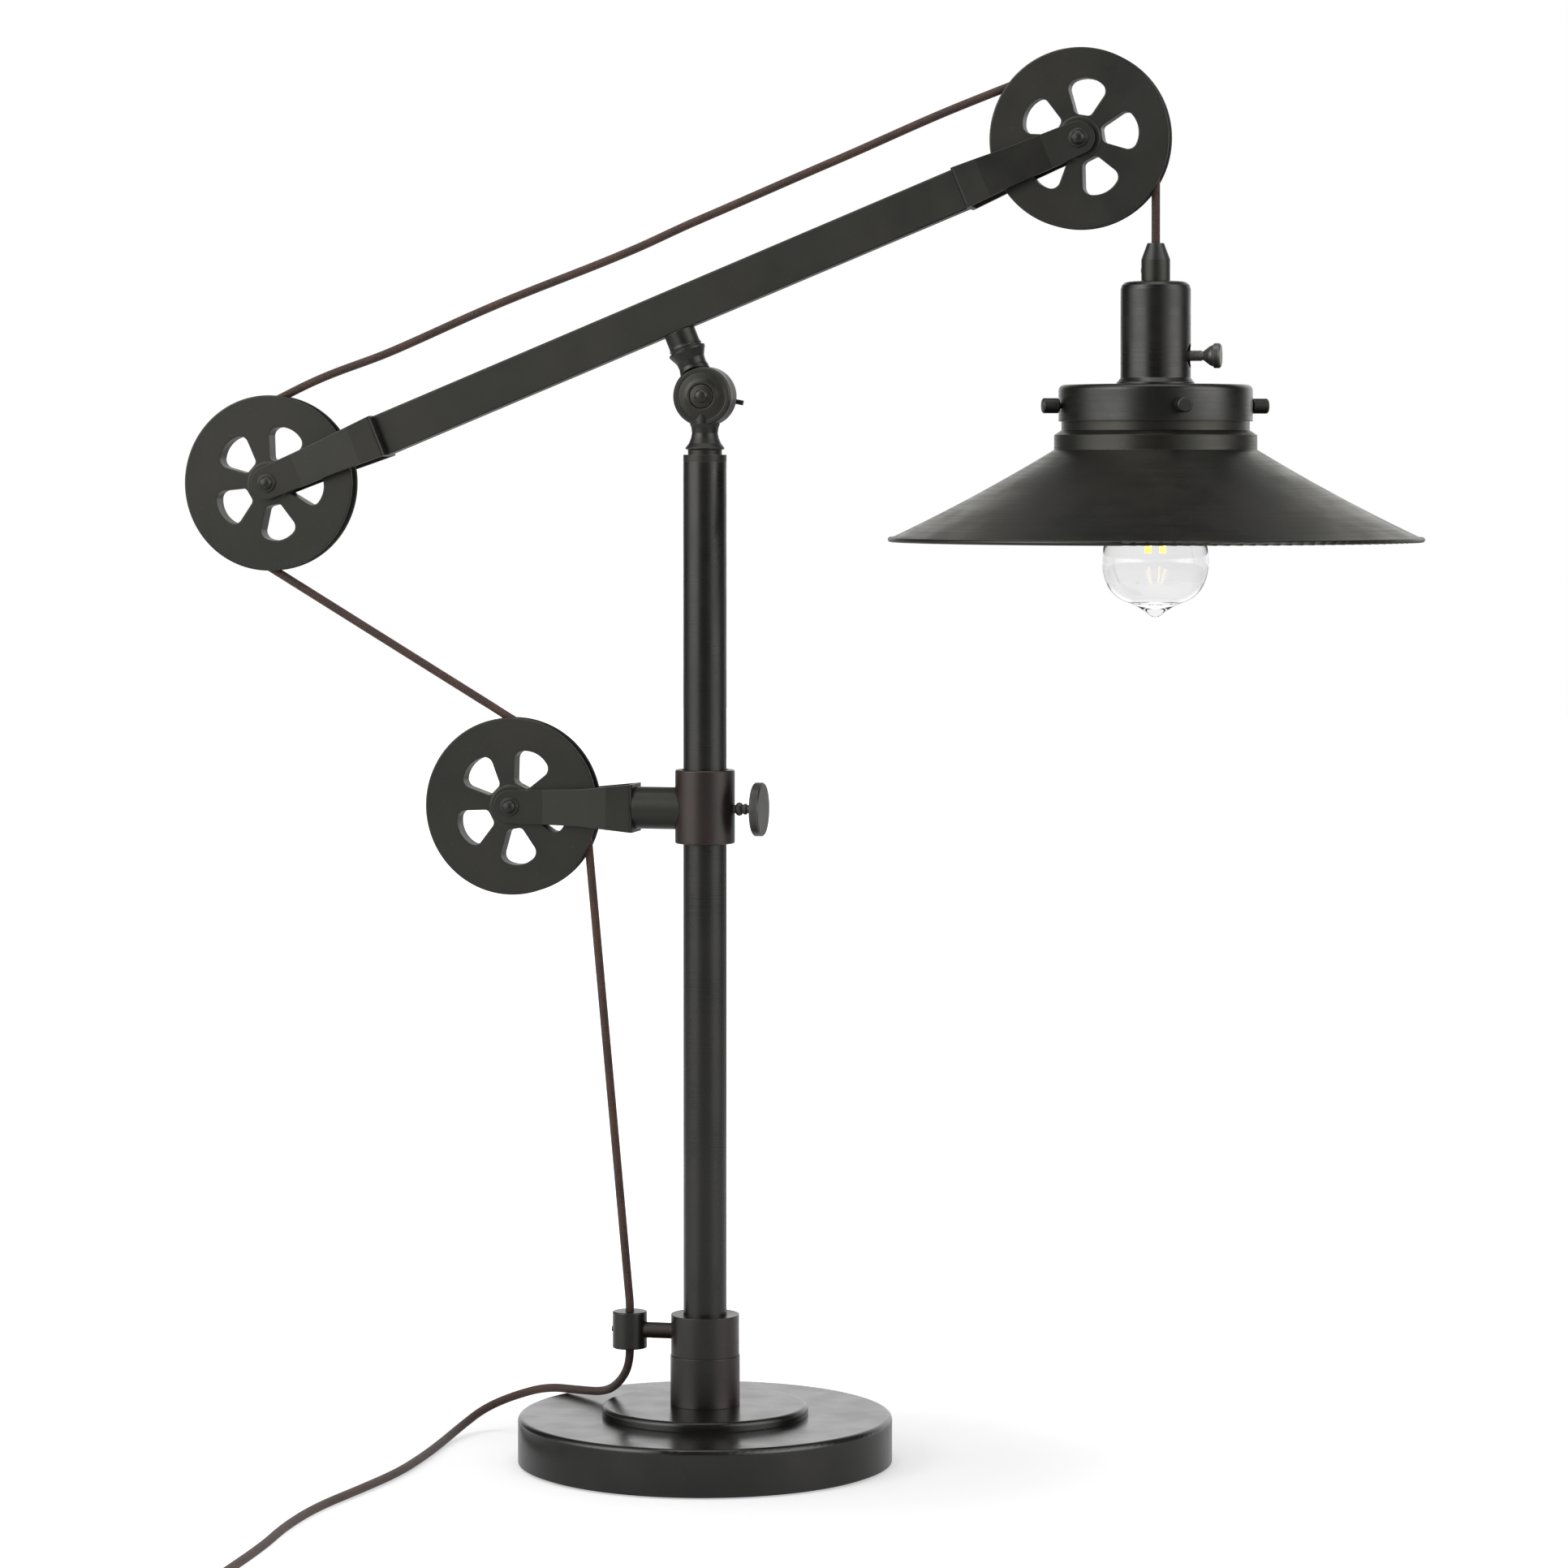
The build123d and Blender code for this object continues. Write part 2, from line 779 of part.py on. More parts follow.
for name, axle, toward, first_petal, foot_h in (
    ("front", front_axle, -along_beam, front_petal_angle, fork_foot_h),
    ("rear", rear_axle, along_beam, rear_petal_angle, fork_foot_h),
    ("middle", middle_axle, Vector(1, 0, 0), middle_petal_angle, middle_foot_h),
):
    with BuildPart() as pulley:
        add(build_pulley(axle, first_petal))
    pulley.part.label = f"{name}_pulley"
    export_step(pulley.part, f"parts/{name}_pulley.step")
    with BuildPart() as fork:
        add(build_fork(axle, toward, foot_h))
    fork.part.label = f"{name}_fork"
    export_step(fork.part, f"parts/{name}_fork.step")

arm_ends = ((front_axle, -along_beam), (rear_axle, along_beam))
with BuildPart() as arm_axles:
    for axle, toward in arm_ends:
        add(build_axle(axle))
arm_axles.part.label = "arm_axles"
export_step(arm_axles.part, "parts/arm_axles.step")

with BuildPart() as arm_axle_nuts:
    for axle, toward in arm_ends:
        add(build_axle_nut(axle))
arm_axle_nuts.part.label = "arm_axle_nuts"
export_step(arm_axle_nuts.part, "parts/arm_axle_nuts.step")

with BuildPart() as arm_fork_screws:
    for axle, toward in arm_ends:
        add(build_fork_screw(axle, toward))
arm_fork_screws.part.label = "arm_fork_screws"
export_step(arm_fork_screws.part, "parts/arm_fork_screws.step")

with BuildPart() as middle_axle_bolt:
    add(build_axle(middle_axle))
middle_axle_bolt.part.label = "middle_axle"
export_step(middle_axle_bolt.part, "parts/middle_axle.step")

with BuildPart() as middle_axle_nut:
    add(build_axle_nut(middle_axle))
middle_axle_nut.part.label = "middle_axle_nut"
export_step(middle_axle_nut.part, "parts/middle_axle_nut.step")

with BuildPart() as middle_fork_screw:
    add(build_fork_screw(middle_axle, Vector(1, 0, 0)))
middle_fork_screw.part.label = "middle_fork_screw"
export_step(middle_fork_screw.part, "parts/middle_fork_screw.step")

# Slider

slider_foot = slider_z + slider_rise - slider_h / 2
with BuildPart() as slider_collar:
    with BuildSketch(Plane.XY.offset(slider_foot)):
        Circle(slider_r)
        Circle(bush_r, mode=Mode.SUBTRACT)
    extrude(amount=slider_h)
    chamfer(
        slider_collar.edges()
        .filter_by(GeomType.CIRCLE)
        .filter_by(lambda edge: abs(edge.radius - slider_r) < 0.01),
        0.5,
    )
    with BuildSketch(Plane.YZ):
        with Locations((0, slider_z)):
            Circle(thumb_stem_r + pin_gap)
    extrude(amount=slider_r, mode=Mode.SUBTRACT)
slider_collar.part.label = "slider_collar"
export_step(slider_collar.part, "parts/slider_collar.step")

with BuildPart() as slider_bush:
    with BuildSketch(Plane.XY.offset(slider_foot + bush_inset)):
        Circle(bush_r)
        Circle(post_r + pin_gap, mode=Mode.SUBTRACT)
    extrude(amount=slider_h - 2 * bush_inset)
    with BuildSketch(Plane.YZ):
        with Locations((0, slider_z)):
            Circle(thumb_stem_r + pin_gap)
    extrude(amount=slider_r, mode=Mode.SUBTRACT)
slider_bush.part.label = "slider_bush"
export_step(slider_bush.part, "parts/slider_bush.step")

with BuildPart() as slider_arm:
    with BuildSketch(Plane.YZ.offset(slider_arm_x)):
        with Locations((0, slider_z)):
            Circle(slider_arm_r)
    extrude(amount=-slider_arm_x)
    with BuildSketch(Plane.XY.offset(slider_foot)):
        Circle(slider_r)
    extrude(amount=slider_h, mode=Mode.SUBTRACT)
    with BuildSketch(Plane.YZ.offset(slider_arm_x)):
        with Locations((0, slider_z)):
            Circle(fork_screw_r)
    extrude(amount=fork_screw_depth, mode=Mode.SUBTRACT)
slider_arm.part.label = "slider_arm"
export_step(slider_arm.part, "parts/slider_arm.step")

thumb_back = thumb_face_x - thumb_t
with BuildPart() as collar_screw:
    revolve(
        lengthwise(
            [
                (post_r + slip_gap, 0),
                (post_r + slip_gap, thumb_stem_r),
                (16.6, thumb_stem_r),
                (17.3, 3.2),
                (18.5, 3.6),
                (19.7, 3.2),
                (20.4, 2.2),
                (21.2, 2.9),
                (22.2, 2.9),
                (23, 2.1),
                (25.4, 2.4),
                (thumb_back - 0.6, 4.2),
                (thumb_back, 6.5),
                (thumb_back, thumb_r - 0.7),
                (thumb_back + 0.7, thumb_r),
                (thumb_face_x - 0.7, thumb_r),
                (thumb_face_x, thumb_r - 0.7),
                (thumb_face_x, 0),
            ],
            slider_z,
        ),
        axis=Axis((0, 0, slider_z), (1, 0, 0)),
    )
collar_screw.part.label = "collar_screw"
export_step(collar_screw.part, "parts/collar_screw.step")

# Cord on the lamp

beam_normal = 90 + beam_tilt
axle_gap = hypot(middle_axle.X - rear_axle.X, middle_axle.Z - rear_axle.Z)
axle_line = degrees(atan2(middle_axle.Z - rear_axle.Z, middle_axle.X - rear_axle.X))
cross_angle = axle_line + degrees(asin(2 * cord_ring / axle_gap))
cross_dir = Vector(cos(radians(cross_angle)), 0, sin(radians(cross_angle)))
riser_knee = (clip_x, clip_top + 4)
riser_gap = hypot(riser_knee[0] - middle_axle.X, riser_knee[1] - middle_axle.Z)
riser_line = degrees(atan2(riser_knee[1] - middle_axle.Z, riser_knee[0] - middle_axle.X))
riser_start_angle = riser_line + degrees(acos(cord_ring / riser_gap))


def on_wheel(axle, angle):
    """Point of the cord's centre line on a wheel, in the lamp plane."""
    turn = radians(angle)
    return (axle.X + cord_ring * cos(turn), axle.Z + cord_ring * sin(turn))


def sweep_cord(route):
    """Round tube along a finished route."""
    path = route.wire()
    with BuildPart() as tube:
        with BuildSketch(Plane(origin=path @ 0, z_dir=path % 0)):
            Circle(cord_r)
        sweep(path=path)
    return tube.part


def straight_cord(start, end):
    """Taut stretch between two points of the lamp plane."""
    with BuildLine(lamp_plane) as route:
        Line(start, end)
    return sweep_cord(route)


with BuildLine(lamp_plane) as arm_route:
    CenterArc((front_axle.X, front_axle.Z), cord_ring, 0, beam_normal)
    Line(on_wheel(front_axle, beam_normal), on_wheel(rear_axle, beam_normal))
    CenterArc(
        (rear_axle.X, rear_axle.Z), cord_ring, beam_normal, 270 + cross_angle - beam_normal
    )
with BuildPart() as arm_cord:
    add(sweep_cord(arm_route))
arm_cord.part.label = "arm_cord"
export_step(arm_cord.part, "parts/arm_cord.step")

cross_start = Vector(*on_wheel(rear_axle, cross_angle - 90))
cross_end = Vector(*on_wheel(middle_axle, cross_angle + 90))
cross_half = cross_start + (cross_end - cross_start) * 0.5
cross_tail = cross_start + (cross_end - cross_start) * 0.94
for name, start, end in (
    ("cross_cord_upper", cross_start, cross_half),
    ("cross_cord_lower", cross_half, cross_tail),
    ("cross_cord_end", cross_tail, cross_end),
):
    with BuildPart() as stretch:
        add(straight_cord((start.X, start.Y), (end.X, end.Y)))
    stretch.part.label = name
    export_step(stretch.part, f"parts/{name}.step")

with BuildLine(lamp_plane) as middle_route:
    CenterArc(
        (middle_axle.X, middle_axle.Z),
        cord_ring,
        riser_start_angle,
        cross_angle + 90 - riser_start_angle,
    )
with BuildPart() as middle_cord:
    add(sweep_cord(middle_route))
middle_cord.part.label = "middle_cord"
export_step(middle_cord.part, "parts/middle_cord.step")

with BuildLine(lamp_plane) as riser_route:
    FilletPolyline(
        on_wheel(middle_axle, riser_start_angle), riser_knee, (clip_x, clip_foot), radius=riser_bend_r
    )
with BuildPart() as riser_cord:
    add(sweep_cord(riser_route))
riser_cord.part.label = "riser_cord"
export_step(riser_cord.part, "parts/riser_cord.step")

drop_foot = nipple_end + 14
drop_half = (front_axle.Z + relief_top) / 2
for name, top, foot in (
    ("drop_cord_upper", front_axle.Z, drop_half),
    ("drop_cord_lower", drop_half, drop_foot),
):
    with BuildPart() as stretch:
        add(straight_cord((shade_x, top), (shade_x, foot)))
    stretch.part.label = name
    export_step(stretch.part, f"parts/{name}.step")

# Shade group

relief_bore = cord_r + cord_gap
relief_spigot_r = 3.5
with BuildPart() as strain_relief:
    revolve(
        lathe(
            [
                (relief_bore, relief_top),
                (relief_top_r, relief_top),
                (grip_r, relief_foot),
                (relief_spigot_r, relief_foot),
                (relief_spigot_r, drop_foot),
                (relief_bore, drop_foot),
            ],
            shade_x,
        ),
        axis=shade_axis,
    )
strain_relief.part.label = "strain_relief"
export_step(strain_relief.part, "parts/strain_relief.step")

grip_screw_z = (relief_foot + grip_foot) / 2
with BuildPart() as cord_grip:
    revolve(
        lathe(
            [
                (relief_spigot_r, relief_foot),
                (grip_r, relief_foot),
                (grip_r, grip_foot),
                (nipple_r, grip_foot),
                (nipple_r, nipple_end),
                (3, nipple_end),
                (3, drop_foot),
                (relief_spigot_r, drop_foot),
            ],
            shade_x,
        ),
        axis=shade_axis,
    )
    with BuildSketch(Plane.YZ.offset(shade_x)):
        with Locations((0, grip_screw_z)):
            Circle(1.3)
    extrude(amount=-grip_r, mode=Mode.SUBTRACT)
cord_grip.part.label = "cord_grip"
export_step(cord_grip.part, "parts/cord_grip.step")

with BuildPart() as grip_screw:
    with BuildSketch(Plane.YZ.offset(shade_x - relief_spigot_r - slip_gap)):
        with Locations((0, grip_screw_z)):
            Circle(1.3)
    extrude(amount=relief_spigot_r - grip_r)
grip_screw.part.label = "grip_screw"
export_step(grip_screw.part, "parts/grip_screw.step")

with BuildPart() as socket_cup:
    revolve(
        lathe(
            [
                (nipple_r, grip_foot),
                (cup_r - cup_round, grip_foot),
                (cup_r - cup_round * 0.5, grip_foot - cup_round * 0.14),
                (cup_r - cup_round * 0.14, grip_foot - cup_round * 0.5),
                (cup_r, grip_foot - cup_round),
                (cup_r, gallery_top + 3.6),
                (cup_foot_r - 0.5, gallery_top + 1.6),
                (cup_foot_r, gallery_top + 1.2),
                (cup_foot_r, gallery_top),
                (cup_r - cup_wall, gallery_top),
                (cup_r - cup_wall, grip_foot - cup_round),
                (cup_r - cup_round, grip_foot - cup_wall),
                (nipple_r, grip_foot - cup_wall),
            ],
            shade_x,
        ),
        axis=shade_axis,
    )
    with BuildSketch(Plane.YZ.offset(shade_x)):
        with Locations((0, switch_z)):
            Circle(switch_hole_r)
    extrude(amount=cup_r + 1, mode=Mode.SUBTRACT)
socket_cup.part.label = "socket_cup"
export_step(socket_cup.part, "parts/socket_cup.step")

socket_r = 13.7
socket_top = 553
with BuildPart() as lampholder:
    revolve(
        lathe(
            [
                (3, nipple_end),
                (holder_neck_r, nipple_end),
                (holder_neck_r, holder_step),
                (holder_r, holder_step),
                (holder_r, holder_foot),
                (socket_r, holder_foot),
                (socket_r, socket_top),
                (0, socket_top),
                (0, socket_top + 4),
                (3, socket_top + 4),
            ],
            shade_x,
        ),
        axis=shade_axis,
    )
lampholder.part.label = "lampholder"
export_step(lampholder.part, "parts/lampholder.step")

with BuildPart() as lamp_contacts:
    revolve(
        lathe(
            [
                (cap_r + slip_gap, holder_foot + 2),
                (socket_r, holder_foot + 2),
                (socket_r, socket_top - 4),
                (cap_r + slip_gap, socket_top - 4),
            ],
            shade_x,
        ),
        axis=shade_axis,
    )
    with BuildSketch(Plane.XY.offset(cap_top)):
        with Locations((shade_x, 0)):
            Circle(3.5)
    extrude(amount=socket_top - cap_top)
lamp_contacts.part.label = "lamp_contacts"
export_step(lamp_contacts.part, "parts/lamp_contacts.step")

switch_depth = 15.5
with BuildPart() as switch_body:
    with BuildSketch(Plane.YZ.offset(shade_x)):
        with Locations((0, switch_z)):
            Rectangle(9, 12)
    extrude(amount=switch_depth)
    with BuildSketch(Plane.XY.offset(holder_step)):
        with Locations((shade_x, 0)):
            Circle(holder_neck_r)
    extrude(amount=nipple_end - holder_step, mode=Mode.SUBTRACT)
    with BuildSketch(Plane.YZ.offset(shade_x + switch_depth - 3)):
        with Locations((0, switch_z)):
            Circle(1.5 + pin_gap)
    extrude(amount=3, mode=Mode.SUBTRACT)
switch_body.part.label = "switch_body"
export_step(switch_body.part, "parts/switch_body.step")

ridge_start = 18
ridge_step = 1
ridge_count = 6
ridges = []
for ridge in range(ridge_count):
    ridge_x = ridge_start + ridge * ridge_step
    ridges += [(shade_x + ridge_x, 2.75), (shade_x + ridge_x + 0.6, 2.75)]
    ridges += [(shade_x + ridge_x + 0.7, 2.35), (shade_x + ridge_x + 0.95, 2.35)]
with BuildPart() as switch_knob:
    revolve(
        lengthwise(
            [
                (shade_x + switch_depth - 2.7, 0),
                (shade_x + switch_depth - 2.7, 1.5),
                (shade_x + switch_depth + side_gap, 1.5),
                (shade_x + switch_depth + side_gap, 2.35),
                *ridges,
                (shade_x + 24.6, knob_stem_r),
                (shade_x + knob_cone, knob_cone_r),
                (shade_x + knob_end - 4, knob_r - 0.8),
                (shade_x + knob_end - 3.4, knob_r),
                (shade_x + knob_end - 0.8, knob_r),
                (shade_x + knob_end, knob_r - 0.8),
                (shade_x + knob_end, 0),
            ],
            switch_z,
        ),
        axis=Axis((0, 0, switch_z), (1, 0, 0)),
    )
switch_knob.part.label = "switch_knob"
export_step(switch_knob.part, "parts/switch_knob.step")

screw_spots = [screw_angle + 360 / screw_count * spot for spot in range(screw_count)]
gallery_in = gallery_r - gallery_wall


def radial_plane(angle, radius):
    """Plane square to a radius of the shade axis at the height of the gallery screws."""
    out = Vector(cos(radians(angle)), sin(radians(angle)), 0)
    return Plane(origin=Vector(shade_x, 0, screw_z) + out * radius, z_dir=out)


with BuildPart() as gallery_ring:
    revolve(
        lathe(
            [
                (holder_r + slip_gap, gallery_top),
                (gallery_r, gallery_top),
                (gallery_r, gallery_foot),
                (gallery_in, gallery_foot),
                (gallery_in, gallery_top - gallery_wall),
                (holder_r + slip_gap, gallery_top - gallery_wall),
            ],
            shade_x,
        ),
        axis=shade_axis,
    )
    top_edges = gallery_ring.edges().group_by(Axis.Z)[-1]
    fillet(top_edges.sort_by(SortBy.RADIUS)[-1], gallery_round)
    for angle in screw_spots:
        with BuildSketch(radial_plane(angle, gallery_in - 1)):
            Circle(1.5)
        extrude(amount=gallery_wall + 2, mode=Mode.SUBTRACT)
gallery_ring.part.label = "gallery_ring"
export_step(gallery_ring.part, "parts/gallery_ring.step")

with BuildPart() as gallery_screws:
    for angle in screw_spots:
        with BuildSketch(radial_plane(angle, shade_neck_r)):
            Circle(1.5)
        extrude(amount=gallery_r + 1.2 - shade_neck_r)
        with BuildSketch(radial_plane(angle, gallery_r + 1.2)):
            Circle(screw_head_r)
        extrude(amount=screw_head_end - gallery_r - 1.2)
    chamfer(gallery_screws.faces().filter_by(GeomType.CYLINDER).filter_by(
        lambda face: abs(face.radius - screw_head_r) < 0.01).edges().filter_by(GeomType.CIRCLE), 0.6)
gallery_screws.part.label = "gallery_screws"
export_step(gallery_screws.part, "parts/gallery_screws.step")

# The flare is one arc, hollow side up, and its inside is the same arc one wall further out.
flare_run = rim_r - shoulder_r
flare_drop = shoulder_foot - rim_z
flare_chord = hypot(flare_run, flare_drop)
flare_radius = (flare_chord / 2) ** 2 / (2 * shade_sag) + shade_sag / 2
flare_down = (-flare_drop / flare_chord, -flare_run / flare_chord)
flare_mid = ((shoulder_r + rim_r) / 2, (shoulder_foot + rim_z) / 2)
flare_centre = (
    flare_mid[0] - flare_down[0] * (flare_radius - shade_sag),
    flare_mid[1] - flare_down[1] * (flare_radius - shade_sag),
)


def on_flare(radius, height, out):
    """Point on the line from the flare's centre through radius and height, out beyond it."""
    run = radius - flare_centre[0]
    rise = height - flare_centre[1]
    scale = (flare_radius + out) / hypot(run, rise)
    return (shade_x + flare_centre[0] + run * scale, flare_centre[1] + rise * scale)


with BuildPart() as shade:
    with BuildSketch(Plane.XZ):
        with BuildLine():
            ThreePointArc(
                on_flare(shoulder_r, shoulder_foot, 0),
                on_flare(flare_mid[0], flare_mid[1], 0),
                on_flare(rim_r, rim_z, 0),
            )
            Line(on_flare(rim_r, rim_z, 0), on_flare(rim_r, rim_z, shade_wall))
            ThreePointArc(
                on_flare(rim_r, rim_z, shade_wall),
                on_flare(flare_mid[0], flare_mid[1], shade_wall),
                on_flare(shoulder_r, shoulder_foot, shade_wall),
            )
            Polyline(
                on_flare(shoulder_r, shoulder_foot, shade_wall),
                (shade_x + shoulder_r - shade_wall, shoulder_foot + 0.4),
                (shade_x + shoulder_r - shade_wall, shoulder_top - 0.8),
                (shade_x + shade_neck_r - shade_wall, shoulder_top + 1.7),
                (shade_x + shade_neck_r - shade_wall, shade_neck_top),
                (shade_x + shade_neck_r, shade_neck_top),
                (shade_x + shade_neck_r, shoulder_top + 2.5),
                (shade_x + shoulder_r, shoulder_top),
                on_flare(shoulder_r, shoulder_foot, 0),
            )
        make_face()
        with Locations((shade_x + rim_r - bead_r, rim_z)):
            Circle(bead_r)
    revolve(axis=shade_axis)
shade.part.label = "shade"
export_step(shade.part, "parts/shade.step")

# Bulb

join = radians(globe_join)
neck_arc_r = (globe_r * cos(join) - globe_neck_r) / (1 - cos(join))
neck_arc_x = globe_neck_r + neck_arc_r
neck_arc_z = globe_z + (globe_r + neck_arc_r) * sin(join)


def globe_point(angle, wall):
    """Point of the globe's outline at an angle above its middle."""
    turn = radians(angle)
    return (shade_x + (globe_r - wall) * cos(turn), globe_z + (globe_r - wall) * sin(turn))


def neck_point(angle, wall):
    """Point of the hollow arc between globe and neck, angle from level."""
    turn = radians(angle)
    reach = neck_arc_r + wall
    return (shade_x + neck_arc_x - reach * cos(turn), neck_arc_z - reach * sin(turn))




def cone_point(spot, wall):
    """Point of the tapering foot of the globe, at a radius and a drop below its middle."""
    return (shade_x + spot[0] - 0.4 * wall, globe_z - spot[1] + 0.9 * wall)


glass_top = cap_foot + 10
with BuildPart() as bulb_glass:
    with BuildSketch(Plane.XZ):
        with BuildLine():
            Line((shade_x + globe_neck_r, glass_top), neck_point(0, 0))
            ThreePointArc(
                neck_point(0, 0), neck_point(globe_join / 2, 0), neck_point(globe_join, 0)
            )
            ThreePointArc(
                neck_point(globe_join, 0), globe_point(0, 0), globe_point(globe_cone, 0)
            )
            ThreePointArc(
                globe_point(globe_cone, 0), cone_point(cone_bend, 0), cone_point(cone_shoulder, 0)
            )
            ThreePointArc(
                cone_point(cone_shoulder, 0), cone_point(pip_hollow, 0), cone_point(pip_edge, 0)
            )
            Polyline(
                cone_point(pip_edge, 0),
                (shade_x + 1.6, globe_tip_z + 0.2),
                (shade_x, globe_tip_z),
                (shade_x, globe_z - pip_inside),
                cone_point(cone_shoulder, globe_wall),
            )
            ThreePointArc(
                cone_point(cone_shoulder, globe_wall),
                cone_point((cone_bend[0] - 0.4 * globe_wall, cone_bend[1]), globe_wall),
                globe_point(globe_cone, globe_wall),
            )
            ThreePointArc(
                globe_point(globe_cone, globe_wall),
                globe_point(0, globe_wall),
                neck_point(globe_join, globe_wall),
            )
            ThreePointArc(
                neck_point(globe_join, globe_wall),
                neck_point(globe_join / 2, globe_wall),
                neck_point(0, globe_wall),
            )
            Polyline(
                neck_point(0, globe_wall),
                (shade_x + globe_neck_r - globe_wall, glass_top),
                (shade_x + globe_neck_r, glass_top),
            )
        make_face()
    revolve(axis=shade_axis)
bulb_glass.part.label = "bulb_glass"
export_step(bulb_glass.part, "parts/bulb_glass.step")

with BuildPart() as bulb_cap:
    revolve(
        lathe(
            [
                (globe_neck_r, cap_foot),
                (cap_r, cap_foot),
                (cap_r, cap_top - 4),
                (5, cap_top),
                (0, cap_top),
                (0, cap_top - 1.5),
                (4.5, cap_top - 1.5),
                (globe_neck_r, cap_top - 5),
            ],
            shade_x,
        ),
        axis=shade_axis,
    )
bulb_cap.part.label = "bulb_cap"
export_step(bulb_cap.part, "parts/bulb_cap.step")

with BuildPart() as bulb_stem:
    revolve(
        lathe(
            [
                (0, glass_top),
                (globe_neck_r - globe_wall, glass_top),
                (globe_neck_r - globe_wall, glass_top - 3),
                (4, glass_top - 12),
                (3, stem_foot),
                (0, stem_foot),
            ],
            shade_x,
        ),
        axis=shade_axis,
    )
bulb_stem.part.label = "bulb_stem"
export_step(bulb_stem.part, "parts/bulb_stem.step")

# Each filament leans out from the glass stem to the ring at its foot.
with BuildPart() as bulb_filaments:
    for spot in range(filament_count):
        turn = radians(filament_turn + 360 / filament_count * spot)
        out = Vector(cos(turn), sin(turn), 0)
        head = Vector(shade_x, 0, stem_foot) + out * (3 + filament_r)
        foot = Vector(shade_x, 0, stem_foot - filament_h) + out * filament_ring
        with BuildSketch(Plane(origin=head, z_dir=foot - head)):
            Circle(filament_r)
        extrude(amount=(foot - head).length)
bulb_filaments.part.label = "bulb_filaments"
export_step(bulb_filaments.part, "parts/bulb_filaments.step")

# Free cord. Its points are chosen by hand: out of the clip, over the base edge, down to the floor
# and towards the front, to the put away coil.

tail_points = [
    (clip_x, 0, clip_foot),
    (clip_x, 0, 49.5),
    (-48.3, 9.8, 38),
    (-60, 23.6, 29.6),
    (-78.3, 39, 28.4),
    (-99.5, 51.7, 28.4),
    (-120.9, 60.3, 20),
    (-136.1, 54.8, 12),
    (-143.6, 37.8, 5.5),
    (-145.9, 13.7, floor_cord_z),
    (-144.2, -28.9, floor_cord_z),
    (-144.6, -75, floor_cord_z),
    (-151.3, -121.6, floor_cord_z),
    (-159.3, -168.5, floor_cord_z),
    (-160.1, -215.8, floor_cord_z),
    (-156, -262, floor_cord_z),
]
climb_half = 0.25


def coil_point(turn):
    """Centre line of the coil: in along the floor, up a layer round turn 0, and out again."""
    if abs(turn) < climb_half:
        radius = coil_inner_r + coil_pitch * turn**2 / (2 * climb_half)
        rise = coil_pitch * (0.5 + 0.5 * sin(pi * turn / (2 * climb_half)))
    else:
        radius = coil_inner_r + coil_pitch * (abs(turn) - climb_half / 2)
        rise = 0 if turn < 0 else coil_pitch
    angle = radians(coil_start_angle) + 2 * pi * (turn + coil_turns_in)
    return Vector(
        coil_centre[0] + radius * cos(angle),
        coil_centre[1] + radius * sin(angle),
        floor_cord_z + rise,
    )


def coil_heading(turn):
    step = 0.001
    return (coil_point(turn + step) - coil_point(turn - step)).normalized()


def biarc(start, heading, end, end_heading):
    """Two arcs, tangent to each other and to both headings."""
    chord = end - start
    both = heading + end_heading
    twice = 2 * (1 - heading.dot(end_heading))
    along = chord.dot(both)
    reach = (-along + (along**2 + twice * chord.dot(chord)) ** 0.5) / twice
    joint = (start + end + (heading - end_heading) * reach) * 0.5
    TangentArc(start, joint, tangent=heading)
    TangentArc(end, joint, tangent=end_heading * -1)


coil_in = coil_point(-coil_turns_in)
coil_out = coil_point(coil_turns_out)
coil_in_heading = coil_heading(-coil_turns_in)
coil_out_heading = coil_heading(coil_turns_out)
coil_start = coil_in - coil_in_heading * cord_d
coil_finish = coil_out + coil_out_heading * cord_d
coil_lead = coil_in - coil_in_heading * coil_lead_l
tail_points += [(point.X, point.Y, point.Z) for point in (coil_lead, coil_start)]


def corner_radii(points):
    """Arc for each corner: as large as its two runs allow."""
    radii = []
    for before, corner, after in zip(points, points[1:], points[2:]):
        arriving = Vector(*corner) - Vector(*before)
        leaving = Vector(*after) - Vector(*corner)
        turn = radians(arriving.get_angle(leaving))
        radii.append(0.45 * min(arriving.length, leaving.length) / tan(turn / 2))
    return radii


tail_radii = corner_radii(tail_points)
with BuildLine() as tail_route:
    FilletPolyline(*tail_points, radius=tail_radii)
with BuildPart() as cord_tail:
    add(sweep_cord(tail_route))
cord_tail.part.label = "cord_tail"
export_step(cord_tail.part, "parts/cord_tail.step")

arcs_per_turn = 4
coil_arcs = ceil((coil_turns_in + coil_turns_out) * arcs_per_turn)
with BuildLine() as coil_route:
    Line(coil_start, coil_in)
    for arc in range(coil_arcs):
        here = arc / arcs_per_turn - coil_turns_in
        there = here + 1 / arcs_per_turn
        biarc(coil_point(here), coil_heading(here), coil_point(there), coil_heading(there))
    Line(coil_out, coil_finish)
with BuildPart() as cord_coil:
    add(sweep_cord(coil_route))
cord_coil.part.label = "cord_coil"
export_step(cord_coil.part, "parts/cord_coil.step")

# Plug, lying flat at the end of the coil

plug_z = coil_finish.Z
plug_dir = Vector(coil_out_heading.X, coil_out_heading.Y, 0).normalized()
plug_side = Vector(0, 0, 1).cross(plug_dir)
plug_face = plug_relief_l + plug_l


def plug_plane(distance):
    return Plane(origin=coil_finish + plug_dir * distance, x_dir=plug_side, z_dir=plug_dir)


